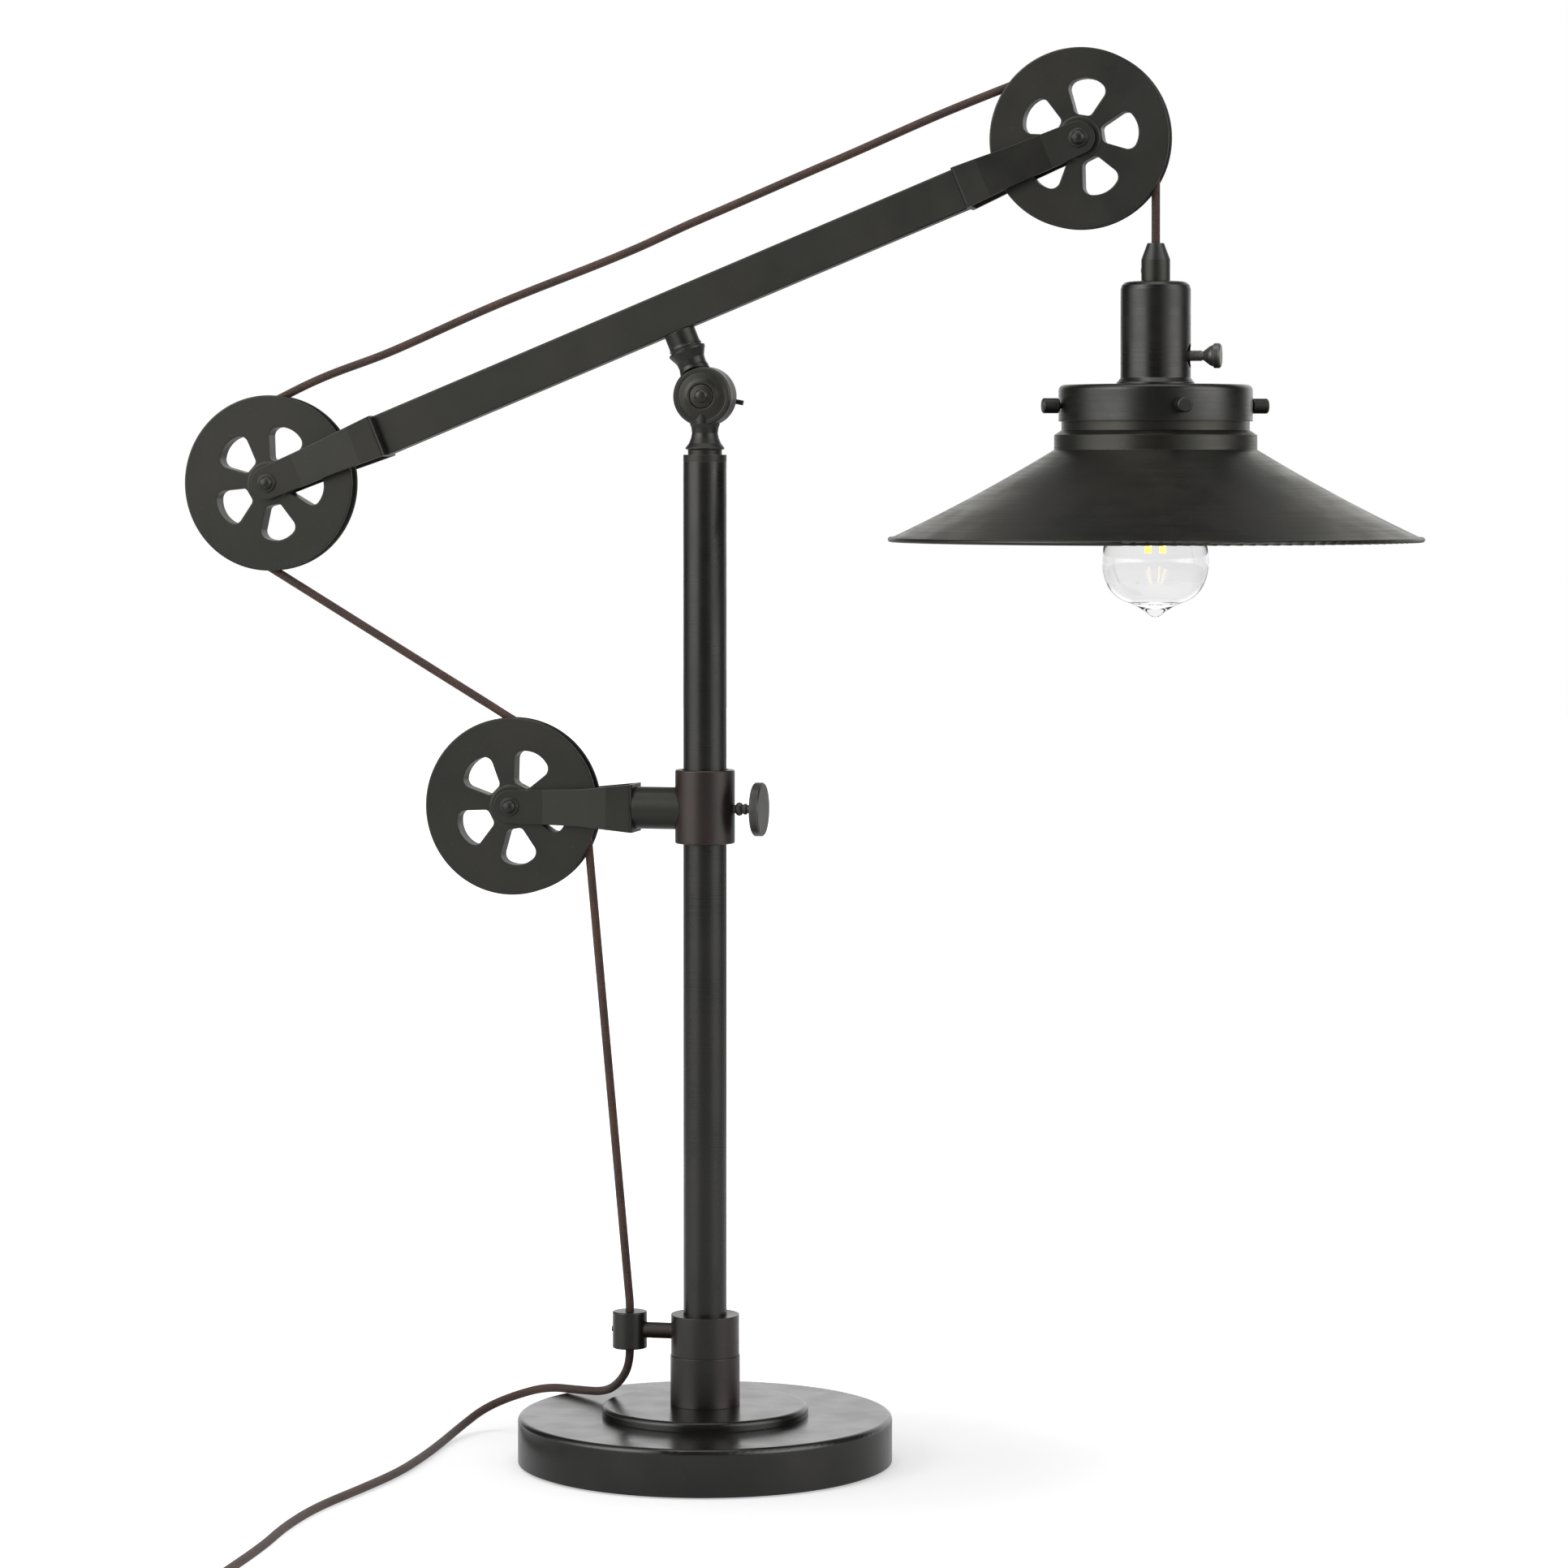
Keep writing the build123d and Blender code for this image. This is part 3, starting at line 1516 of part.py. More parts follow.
with BuildPart() as plug:
    with BuildSketch(plug_plane(0)):
        Circle(cord_r + 0.8)
    with BuildSketch(plug_plane(plug_relief_l)):
        Circle(cord_r + 2.2)
    loft()
    with BuildSketch(plug_plane(plug_relief_l)):
        RectangleRounded(plug_w * 0.7, plug_h * 0.85, 4)
    with BuildSketch(plug_plane(plug_relief_l + plug_l * 0.35)):
        RectangleRounded(plug_w, plug_h, 4)
    loft()
    with BuildSketch(plug_plane(plug_relief_l + plug_l * 0.35)):
        RectangleRounded(plug_w, plug_h, 4)
    extrude(amount=plug_l * 0.65)
    with BuildSketch(plug_plane(plug_face - 6)):
        with Locations((-blade_pitch / 2, 0), (blade_pitch / 2, 0)):
            Rectangle(blade_t, blade_w)
    extrude(amount=6, mode=Mode.SUBTRACT)
plug.part.label = "plug"
export_step(plug.part, "parts/plug.step")

with BuildPart() as plug_blades:
    with BuildSketch(plug_plane(plug_face - 6)):
        with Locations((-blade_pitch / 2, 0), (blade_pitch / 2, 0)):
            Rectangle(blade_t, blade_w)
    extrude(amount=6 + blade_l)
plug_blades.part.label = "plug_blades"
export_step(plug_blades.part, "parts/plug_blades.step")

# What the cord measures
tail_length = tail_route.wire().length
coil_length = coil_route.wire().length
coil_samples = 60
sampled = [
    coil_point(step / coil_samples - coil_turns_in)
    for step in range(int((coil_turns_in + coil_turns_out) * coil_samples) + 1)
]
least_gap = min(
    (first - second).length - cord_d
    for index, first in enumerate(sampled)
    for second in sampled[index + coil_samples // 2 :]
)
print("tail radii", [round(radius, 1) for radius in tail_radii])
print("tail length", round(tail_length, 1), "coil length", round(coil_length, 1))
print("coil least gap", round(least_gap, 2))
for name, piece, route in (
    ("tail", cord_tail, tail_route),
    ("coil", cord_coil, coil_route),
    ("arm", arm_cord, arm_route),
    ("riser", riser_cord, riser_route),
):
    section = pi * cord_r**2
    ratio = piece.part.volume / (section * route.wire().length)
    print(name, "volume over section times length", round(ratio, 4))
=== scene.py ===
import json
from math import acos, asin, atan2, cos, pi, radians, sin, tau

import bmesh
import bpy
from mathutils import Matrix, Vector


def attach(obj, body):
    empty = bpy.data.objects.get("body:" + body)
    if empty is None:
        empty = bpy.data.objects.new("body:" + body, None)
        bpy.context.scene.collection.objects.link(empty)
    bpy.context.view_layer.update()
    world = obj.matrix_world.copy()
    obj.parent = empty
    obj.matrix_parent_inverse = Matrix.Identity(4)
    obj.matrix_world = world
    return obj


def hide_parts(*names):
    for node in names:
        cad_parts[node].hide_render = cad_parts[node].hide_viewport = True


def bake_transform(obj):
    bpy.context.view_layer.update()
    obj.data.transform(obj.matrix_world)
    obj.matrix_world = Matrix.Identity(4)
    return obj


# Table lamp with a weighted base, a tilting beam, three pulleys and a flared shade that hangs from
# its cord. Metres and degrees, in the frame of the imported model.

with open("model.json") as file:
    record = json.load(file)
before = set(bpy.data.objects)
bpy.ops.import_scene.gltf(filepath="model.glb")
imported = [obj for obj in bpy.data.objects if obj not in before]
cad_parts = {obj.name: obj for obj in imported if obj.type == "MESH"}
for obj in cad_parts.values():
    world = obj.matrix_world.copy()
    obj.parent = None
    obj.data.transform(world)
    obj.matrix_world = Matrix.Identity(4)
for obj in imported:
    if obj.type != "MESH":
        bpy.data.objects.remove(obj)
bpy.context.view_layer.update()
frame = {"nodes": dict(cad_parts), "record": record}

MM = 0.001

# Lamp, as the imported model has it
CORD_D = 4.4 * MM
CORD_R = CORD_D / 2
CORD_RING = 39 * MM
BEAM_TILT = radians(22.1)
KNUCKLE_Z = 558 * MM
BEAM_OFFSET = 47.4 * MM
FRONT_REACH = 233.5 * MM
REAR_REACH = 237.5 * MM
MIDDLE_AXLE = Vector((-104 * MM, 0, 342.3 * MM))
ALONG_BEAM = Vector((cos(BEAM_TILT), 0, sin(BEAM_TILT)))
BEAM_UP = Vector((-sin(BEAM_TILT), 0, cos(BEAM_TILT)))
BEAM_FOOT = Vector((0, 0, KNUCKLE_Z)) + BEAM_UP * BEAM_OFFSET
FRONT_AXLE = BEAM_FOOT + ALONG_BEAM * FRONT_REACH
REAR_AXLE = BEAM_FOOT - ALONG_BEAM * REAR_REACH
SHADE_X = FRONT_AXLE.x + CORD_RING
CLIP_X = -40.7 * MM
CLIP_FOOT = 58.1 * MM
CLIP_TOP = 77.3 * MM
RELIEF_TOP = 635.7 * MM
DROP_FOOT = 618 * MM

# Free cord and its put away coil
FLOOR_CORD_Z = CORD_R + 0.05 * MM
COIL_PITCH = 5 * MM
COIL_INNER_R = 16 * MM
COIL_TURNS_IN = 4
COIL_TURNS_OUT = 4.25
COIL_CENTRE = Vector((-113.5 * MM, -398 * MM, 0))
COIL_START_ANGLE = radians(185)
COIL_LEAD = 60 * MM
CLIMB_HALF = 0.25
COIL_STEPS = 14
ROUTE_STEPS = 12
ARC_STEP = 2 * MM
LINE_STEP = 3 * MM
TAIL_POINTS = [
    (CLIP_X, 0, CLIP_FOOT),
    (CLIP_X, 0, 0.0495),
    (-0.0483, 0.0098, 0.038),
    (-0.06, 0.0236, 0.0296),
    (-0.0783, 0.037, 0.0275),
    (-0.0995, 0.0495, 0.0262),
    (-0.1209, 0.058, 0.0188),
    (-0.1361, 0.0548, 0.012),
    (-0.1436, 0.0378, 0.0055),
    (-0.1459, 0.0137, FLOOR_CORD_Z),
    (-0.1442, -0.0289, FLOOR_CORD_Z),
    (-0.1446, -0.075, FLOOR_CORD_Z),
    (-0.1513, -0.1216, FLOOR_CORD_Z),
    (-0.1593, -0.1685, FLOOR_CORD_Z),
    (-0.1601, -0.2158, FLOOR_CORD_Z),
    (-0.156, -0.262, FLOOR_CORD_Z),
]

# Camera, from a fit to the base, the shade rim, the axles and the post
CAMERA_PLACE = (616.4 * MM, -2563.9 * MM, 521.8 * MM)
CAMERA_TURN = 12.62
CAMERA_DOWN = 0.851
FOCAL_PIXELS = 6212.2
SHIFT_PIXELS = -300
PHOTO_PIXELS = 1932
SENSOR = 36


def make_camera():
    data = bpy.data.cameras.new("camera")
    data.sensor_width = SENSOR
    data.sensor_height = SENSOR
    data.sensor_fit = "HORIZONTAL"
    data.lens = FOCAL_PIXELS / PHOTO_PIXELS * SENSOR
    data.shift_y = SHIFT_PIXELS / PHOTO_PIXELS
    data.clip_start = 0.05
    data.clip_end = 50
    camera = bpy.data.objects.new("camera", data)
    camera.location = CAMERA_PLACE
    camera.rotation_euler = (radians(90 - CAMERA_DOWN), 0, radians(CAMERA_TURN))
    bpy.context.scene.collection.objects.link(camera)
    bpy.context.scene.camera = camera


make_camera()


# Meshes


def add_object(name, data, material=None, body=None):
    piece = bpy.data.objects.new(name, data)
    bpy.context.scene.collection.objects.link(piece)
    if material is not None:
        data.materials.append(material)
    if body is not None:
        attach(piece, body)
    return piece


def smooth(mesh):
    for polygon in mesh.polygons:
        polygon.use_smooth = True
    mesh.set_sharp_from_angle(angle=radians(CREASE_ANGLE))


def round_corner(corner, before, after, radius, steps):
    """Arc of points that rounds one corner of an outline."""
    into = (Vector(before) - Vector(corner)).normalized()
    out = (Vector(after) - Vector(corner)).normalized()
    half = into.angle(out) / 2
    reach = radius / abs(sin(half) / cos(half))
    centre = Vector(corner) + (into + out).normalized() * (radius / sin(half))
    start = Vector(corner) + into * reach - centre
    end = Vector(corner) + out * reach - centre
    span = start.angle(end)
    points = []
    for step in range(steps + 1):
        share = step / steps
        point = (start * sin(span * (1 - share)) + end * sin(span * share)) / sin(span)
        points.append(tuple(centre + point))
    return points


# Cord: every stretch is a tube whose UV counts turns of the braid along the whole cord

TUBE_SIDES = 20
CREASE_ANGLE = 60
UPRIGHT_SIDE = 0.1


def tube(name, points, along):
    """Tube along points, UV running on from along in metres; returns the mesh and its length."""
    mesh = bpy.data.meshes.new(name)
    build = bmesh.new()
    uv_layer = build.loops.layers.uv.new("cord")
    points = [Vector(point) for point in points]
    headings = []
    for index in range(len(points)):
        before = points[max(index - 1, 0)]
        after = points[min(index + 1, len(points) - 1)]
        headings.append((after - before).normalized())
    side = headings[0].cross(Vector((0, 1, 0)))
    if side.length < UPRIGHT_SIDE:
        side = headings[0].cross(Vector((1, 0, 0)))
    side.normalize()
    rings = []
    runs = []
    run = along
    for index, (point, heading) in enumerate(zip(points, headings)):
        if index:
            run += (point - points[index - 1]).length
        side = (side - heading * side.dot(heading)).normalized()
        over = heading.cross(side)
        ring = []
        for step in range(TUBE_SIDES):
            turn = tau * step / TUBE_SIDES
            ring.append(build.verts.new(point + (side * cos(turn) + over * sin(turn)) * CORD_R))
        rings.append(ring)
        runs.append(run)
    for index in range(len(rings) - 1):
        for step in range(TUBE_SIDES):
            after = (step + 1) % TUBE_SIDES
            face = build.faces.new(
                (
                    rings[index][step],
                    rings[index][after],
                    rings[index + 1][after],
                    rings[index + 1][step],
                )
            )
            spots = (
                (step, index),
                (step + 1, index),
                (step + 1, index + 1),
                (step, index + 1),
            )
            for loop, (turn, ring) in zip(face.loops, spots):
                loop[uv_layer].uv = (turn / TUBE_SIDES, runs[ring])
    for ring in (rings[0], rings[-1]):
        build.faces.new(ring)
    bmesh.ops.recalc_face_normals(build, faces=build.faces)
    build.to_mesh(mesh)
    build.free()
    smooth(mesh)
    return mesh, run - along


def nurbs_points(name, points):
    """Points that a NURBS curve with these control points passes through."""
    data = bpy.data.curves.new(name, "CURVE")
    data.dimensions = "3D"
    data.resolution_u = ROUTE_STEPS
    spline = data.splines.new("NURBS")
    spline.points.add(len(points) - 1)
    for target, point in zip(spline.points, points):
        target.co = (*point, 1)
    spline.order_u = 3
    spline.use_endpoint_u = True
    guide = bpy.data.objects.new(name, data)
    bpy.context.scene.collection.objects.link(guide)
    bpy.context.view_layer.update()
    line = bpy.data.meshes.new_from_object(guide)
    route = [tuple(vertex.co) for vertex in line.vertices]
    bpy.data.meshes.remove(line)
    bpy.data.objects.remove(guide)
    bpy.data.curves.remove(data)
    return route


def on_wheel(axle, angle):
    return Vector((axle.x + CORD_RING * cos(angle), 0, axle.z + CORD_RING * sin(angle)))


def arc_points(axle, start, end):
    steps = max(4, int(abs(end - start) * CORD_RING / ARC_STEP))
    return [on_wheel(axle, start + (end - start) * step / steps) for step in range(steps + 1)]


def line_points(start, end):
    count = max(2, int((end - start).length / LINE_STEP))
    return [start + (end - start) * index / count for index in range(count + 1)]


def coil_point(turn):
    if abs(turn) < CLIMB_HALF:
        radius = COIL_INNER_R + COIL_PITCH * turn**2 / (2 * CLIMB_HALF)
        rise = COIL_PITCH * (0.5 + 0.5 * sin(pi * turn / (2 * CLIMB_HALF)))
    else:
        radius = COIL_INNER_R + COIL_PITCH * (abs(turn) - CLIMB_HALF / 2)
        rise = 0 if turn < 0 else COIL_PITCH
    angle = COIL_START_ANGLE + tau * (turn + COIL_TURNS_IN)
    return COIL_CENTRE + Vector((radius * cos(angle), radius * sin(angle), FLOOR_CORD_Z + rise))


def coil_heading(turn):
    step = 0.001
    return (coil_point(turn + step) - coil_point(turn - step)).normalized()


def free_cord_points():
    coil_in = coil_point(-COIL_TURNS_IN)
    heading_in = coil_heading(-COIL_TURNS_IN)
    heading_out = coil_heading(COIL_TURNS_OUT)
    points = [Vector(point) for point in TAIL_POINTS]
    points.append(coil_in - heading_in * COIL_LEAD)
    points.append(coil_in - heading_in * CORD_D)
    count = int((COIL_TURNS_IN + COIL_TURNS_OUT) * COIL_STEPS)
    for step in range(count + 1):
        turn = (COIL_TURNS_IN + COIL_TURNS_OUT) * step / count - COIL_TURNS_IN
        point = coil_point(turn)
        spread = 1 / cos(pi / COIL_STEPS)
        flat = point - COIL_CENTRE
        points.append(COIL_CENTRE + Vector((flat.x * spread, flat.y * spread, flat.z)))
    points.append(coil_point(COIL_TURNS_OUT) + heading_out * CORD_D)
    return points


# Materials


class Graph:
    """Node graph of one material, with short calls for the nodes that the finishes share."""

    def __init__(self, name, **sockets):
        self.material = bpy.data.materials.new(name)
        self.material.use_nodes = True
        self.tree = self.material.node_tree
        self.shader = self.tree.nodes["Principled BSDF"]
        self.place = self.add("ShaderNodeTexCoord").outputs["Object"]
        for socket, value in sockets.items():
            self.feed(self.shader.inputs[socket.replace("_", " ")], value)

    def add(self, kind, inputs=None, **settings):
        node = self.tree.nodes.new(kind)
        for setting, value in settings.items():
            setattr(node, setting, value)
        for socket, value in (inputs or {}).items():
            self.feed(node.inputs[socket], value)
        return node

    def feed(self, socket, value):
        if isinstance(value, bpy.types.NodeSocket):
            self.tree.links.new(value, socket)
        else:
            socket.default_value = value

    def math(self, operation, *values):
        node = self.add("ShaderNodeMath", operation=operation)
        for socket, value in zip(node.inputs, values):
            self.feed(socket, value)
        return node.outputs[0]

    def noise(self, scale, detail, stretch=(1, 1, 1)):
        mapping = self.add("ShaderNodeMapping", {"Vector": self.place, "Scale": stretch})
        texture = self.add(
            "ShaderNodeTexNoise",
            {"Vector": mapping.outputs[0], "Scale": scale, "Detail": detail},
        )
        return texture.outputs[0]

    def spread(self, value, low, high, to_low=0.0, to_high=1.0):
        node = self.add("ShaderNodeMapRange", interpolation_type="SMOOTHSTEP")
        for socket, setting in zip(node.inputs, (value, low, high, to_low, to_high)):
            self.feed(socket, setting)
        return node.outputs[0]

    def mix(self, share, first, second):
        node = self.add("ShaderNodeMix", data_type="RGBA")
        self.feed(node.inputs[0], share)
        for socket, color in ((node.inputs[6], first), (node.inputs[7], second)):
            self.feed(socket, color if isinstance(color, bpy.types.NodeSocket) else (*color, 1))
        return node.outputs[2]

    def bump(self, height, distance, strength=1.0, normal=None):
        inputs = {"Height": height, "Distance": distance, "Strength": strength}
        if normal is not None:
            inputs["Normal"] = normal
        return self.add("ShaderNodeBump", inputs).outputs[0]

    def edges(self, radius):
        """Where the surface turns sharply within radius."""
        rounded_off = self.add("ShaderNodeBevel", {"Radius": radius}, samples=4).outputs[0]
        flat = self.add("ShaderNodeNewGeometry").outputs["Normal"]
        agree = self.add("ShaderNodeVectorMath", operation="DOT_PRODUCT")
        self.feed(agree.inputs[0], rounded_off)
        self.feed(agree.inputs[1], flat)
        bend = self.math("SUBTRACT", 1.0, agree.outputs["Value"])
        return self.spread(bend, LEAST_BEND, FULL_BEND)


# Stretch of the noise that gives lines round an upright axis
ROUND_Z = (0.01, 0.01, 1)
LEAST_BEND = 0.01
FULL_BEND = 0.12
BRONZE_METAL = 0.25
CLOUD_SCALE = 16
SPECK_SCALE = 620
SHEEN_SCALE = 45
GRAIN_SCALE = 1500
LINE_SCALE = 1100
LINE_SHEEN = 0.025
LINE_HEIGHT = 0.8
FINE_BUMP = 0.03 * MM


def metal(name, colors, roughness, lines=None, edge=0.6 * MM, tint=(1, 1, 1), shine=0.5):
    """Satin blackened bronze: cloudy patina, fine grain or turning lines, edges rubbed paler."""
    graph = Graph(name, Metallic=BRONZE_METAL, Specular_IOR_Level=shine, Specular_Tint=(*tint, 1))
    dark, light, worn = colors
    clouds = graph.noise(CLOUD_SCALE, 5)
    specks = graph.noise(SPECK_SCALE, 3)
    patina = graph.mix(graph.spread(clouds, 0.36, 0.68), dark, light)
    patina = graph.mix(graph.spread(specks, 0.6, 0.8, 0, 0.14), patina, worn)
    rubbed = graph.math("MULTIPLY", graph.edges(edge), graph.spread(clouds, 0.3, 0.6, 0.25, 0.7))
    graph.feed(graph.shader.inputs["Base Color"], graph.mix(rubbed, patina, worn))
    low, high = roughness
    sheen = graph.spread(graph.noise(SHEEN_SCALE, 4), 0.3, 0.7, low, high)
    grain = graph.noise(GRAIN_SCALE, 2)
    if lines is not None:
        brushed = graph.noise(LINE_SCALE, 3, lines)
        streaks = graph.spread(brushed, 0.35, 0.65, -LINE_SHEEN, LINE_SHEEN)
        sheen = graph.math("ADD", sheen, streaks)
        grain = graph.math("ADD", grain, graph.math("MULTIPLY", brushed, LINE_HEIGHT))
    graph.feed(graph.shader.inputs["Roughness"], sheen)
    soft = graph.add("ShaderNodeBevel", {"Radius": edge}, samples=6).outputs[0]
    graph.feed(graph.shader.inputs["Normal"], graph.bump(grain, FINE_BUMP, 0.35, soft))
    return graph.material


def make_braid():
    """Braided cover: two families of plaits that cross at a steep angle along the cord, with
    painted shade in the grooves between them.
    """
    graph = Graph("braid", Roughness=0.62, Specular_IOR_Level=0.35, Sheen_Weight=0.25)
    uv = graph.add("ShaderNodeUVMap", uv_map="cord").outputs[0]
    parts = graph.add("ShaderNodeSeparateXYZ", {"Vector": uv})
    round_it = graph.math("MULTIPLY", parts.outputs[0], PLAITS * pi)
    along = graph.math("MULTIPLY", parts.outputs[1], pi / PICK)
    right = graph.math("ABSOLUTE", graph.math("SINE", graph.math("ADD", round_it, along)))
    left = graph.math("ABSOLUTE", graph.math("SINE", graph.math("SUBTRACT", round_it, along)))
    weave = graph.math("MULTIPLY", right, left)
    threads = graph.noise(2600, 2)
    # Painted shade: where the weave is lowest, in the grooves between the plaits, the colour turns
    # dark
    color = graph.mix(graph.spread(weave, 0.05, 0.75), BRAID_GROOVE_SHADE, BRAID_LIGHT)
    color = graph.mix(graph.spread(graph.noise(55, 3), 0.4, 0.68, 0, 0.55), color, BRAID_RED)
    graph.feed(graph.shader.inputs["Base Color"], color)
    height = graph.math("ADD", weave, graph.math("MULTIPLY", threads, 0.35))
    graph.feed(graph.shader.inputs["Normal"], graph.bump(height, BRAID_BUMP, 0.9))
    return graph.material


def moulded(name, color, roughness, grain=900, height=FINE_BUMP):
    """Cast or pressed piece with a fine even grain."""
    graph = Graph(name)
    speck = graph.noise(grain, 3)
    paler = tuple(min(1, channel * 1.5 + 0.01) for channel in color)
    graph.feed(
        graph.shader.inputs["Base Color"],
        graph.mix(graph.spread(graph.noise(60, 4), 0.35, 0.7), color, paler),
    )
    graph.feed(
        graph.shader.inputs["Roughness"],
        graph.spread(speck, 0.3, 0.7, roughness - 0.06, roughness + 0.06),
    )
    graph.feed(graph.shader.inputs["Normal"], graph.bump(speck, height, 0.6))
    return graph.material


def bright_metal(name, color, roughness):
    """Bare metal with fine turning lines."""
    graph = Graph(name, Metallic=1.0)
    brushed = graph.noise(900, 3, ROUND_Z)
    deeper = tuple(channel * 0.72 for channel in color)
    graph.feed(
        graph.shader.inputs["Base Color"],
        graph.mix(graph.spread(graph.noise(40, 3), 0.35, 0.7), color, deeper),
    )
    graph.feed(
        graph.shader.inputs["Roughness"],
        graph.spread(brushed, 0.3, 0.7, roughness - 0.07, roughness + 0.1),
    )
    graph.feed(graph.shader.inputs["Normal"], graph.bump(brushed, FINE_BUMP, 0.5))
    return graph.material


def make_glass():
    """Clear glass, a little grey, with painted shade where it is seen edge on, that bends light
    less in its thin tip.
    """
    graph = Graph("clear_glass", Roughness=0.0, Transmission_Weight=1.0)
    waves = graph.noise(28, 1)
    tint = graph.mix(graph.spread(waves, 0.3, 0.7), GLASS_GREY, GLASS_CLEAR)
    # Painted shade: the colour darkens towards the edges where the glass is seen edge on
    facing = graph.add("ShaderNodeLayerWeight", {"Blend": 0.35}).outputs["Facing"]
    graph.feed(
        graph.shader.inputs["Base Color"],
        graph.mix(graph.spread(facing, 0.45, 1.0), tint, GLASS_EDGE_SHADE),
    )
    graph.feed(graph.shader.inputs["Normal"], graph.bump(waves, WAVE_BUMP, 0.12))
    in_box = graph.add("ShaderNodeTexCoord").outputs["Generated"]
    height = graph.add("ShaderNodeSeparateXYZ", {"Vector": in_box}).outputs[2]
    bend = graph.spread(height, TIP_END, TIP_START, TIP_IOR, GLASS_IOR)
    graph.feed(graph.shader.inputs["IOR"], bend)
    return graph.material


def make_felt():
    """Short matted fibres."""
    graph = Graph("felt", Roughness=0.95, Specular_IOR_Level=0.15, Sheen_Weight=0.4)
    fibres = graph.noise(1300, 5)
    graph.feed(
        graph.shader.inputs["Base Color"],
        graph.mix(graph.spread(fibres, 0.35, 0.65), FELT_DARK, FELT_PALE),
    )
    graph.feed(graph.shader.inputs["Normal"], graph.bump(fibres, FELT_BUMP, 0.8))
    return graph.material


def make_filament():
    """Phosphor stick: small lamps in a row under a yellow coat, given a painted glow though the
    bulb is off.
    """
    # Painted glow: the emission lifts the yellow of the unlit filaments
    graph = Graph("filament", Roughness=0.55, Emission_Strength=2.2)
    beads = graph.noise(420, 2, (0.3, 0.3, 1))
    color = graph.mix(graph.spread(beads, 0.35, 0.65), FILAMENT_DEEP, FILAMENT_PALE)
    graph.feed(graph.shader.inputs["Base Color"], color)
    graph.feed(graph.shader.inputs["Emission Color"], color)
    graph.feed(graph.shader.inputs["Normal"], graph.bump(beads, WAVE_BUMP, 0.6))
    return graph.material


PLAITS = 8
PICK = 1.5 * MM
BRAID_BUMP = 0.22 * MM
WAVE_BUMP = 0.2 * MM
FELT_BUMP = 0.3 * MM
CAST_BUMP = 0.1 * MM
GLAZE_BUMP = 0.02 * MM

# Braid colours; the first is painted shade for the grooves between the plaits
BRAID_GROOVE_SHADE = (0.030, 0.016, 0.011)
BRAID_LIGHT = (0.100, 0.056, 0.043)
BRAID_RED = (0.125, 0.060, 0.044)
FELT_DARK = (0.012, 0.012, 0.012)
FELT_PALE = (0.045, 0.045, 0.043)
# Filament yellows, used both as their colour and as their painted glow
FILAMENT_DEEP = (1.0, 0.62, 0.08)
FILAMENT_PALE = (1.0, 0.80, 0.30)
OLIVE_BLACK = (0.0100, 0.0102, 0.0090)
SOFT_BLACK = (0.0180, 0.0168, 0.0148)
WARM_BROWN = (0.036, 0.018, 0.014)
WORN_BRONZE = (0.095, 0.090, 0.082)
KNOB_GREY = (0.14, 0.137, 0.128)
KNOB_WORN = (0.28, 0.27, 0.25)
OLIVE_SHEEN = (1.0, 1.0, 0.92)
WARM_SHEEN = (1.0, 0.985, 0.87)
IRON_GREY = (0.05, 0.05, 0.052)
STEEL_GREY = (0.5, 0.49, 0.47)
BRASS_YELLOW = (0.72, 0.55, 0.28)
CAP_SILVER = (0.74, 0.73, 0.7)
PLASTIC_BLACK = (0.012, 0.012, 0.012)
PORCELAIN_WHITE = (0.72, 0.7, 0.65)

# Glass: colours, the edge one painted shade where the glass is seen edge on, and where the tip
# starts and ends as shares of the bulb's height
GLASS_GREY = (0.900, 0.902, 0.902)
GLASS_CLEAR = (0.925, 0.927, 0.925)
GLASS_EDGE_SHADE = (0.80, 0.80, 0.79)
GLASS_IOR = 1.45
TIP_IOR = 1.06
TIP_START = 0.17
TIP_END = 0.05

# Finishes: colours (deep, raised, rubbed) and the least and most roughness
BLACKENED = (OLIVE_BLACK, SOFT_BLACK, WORN_BRONZE)
BROWNED = (SOFT_BLACK, WARM_BROWN, WORN_BRONZE)
GREYED = (SOFT_BLACK, KNOB_GREY, KNOB_WORN)
POLISHED = (0.2, 0.27)
BROAD_EDGE = 1.2 * MM

bronze = metal("bronze", BLACKENED, (0.36, 0.46), tint=OLIVE_SHEEN)
wheel_bronze = metal(
    "wheel_bronze", BLACKENED, (0.38, 0.48), edge=1.1 * MM, tint=OLIVE_SHEEN
)
turned_bronze = metal("turned_bronze", BLACKENED, (0.26, 0.36), ROUND_Z)
shade_bronze = metal(
    "shade_bronze", BLACKENED, (0.32, 0.4), ROUND_Z, edge=0.3 * MM, tint=WARM_SHEEN
)
brown_bronze = metal("brown_bronze", BROWNED, (0.3, 0.4), ROUND_Z)
base_bronze = metal("base_bronze", BLACKENED, POLISHED, edge=BROAD_EDGE, shine=0.62)
step_bronze = metal("step_bronze", BLACKENED, POLISHED, edge=BROAD_EDGE)
knob_bronze = metal("knob_bronze", GREYED, (0.34, 0.46))
braid = make_braid()
felt = make_felt()
casting = moulded("casting", IRON_GREY, 0.7, 500, CAST_BUMP)
plain_steel = bright_metal("plain_steel", STEEL_GREY, 0.35)
brass = bright_metal("brass", BRASS_YELLOW, 0.28)
cap_metal = bright_metal("cap_metal", CAP_SILVER, 0.25)
black_plastic = moulded("black_plastic", PLASTIC_BLACK, 0.42)
porcelain = moulded("porcelain", PORCELAIN_WHITE, 0.2, 300, GLAZE_BUMP)
clear_glass = make_glass()
filament = make_filament()

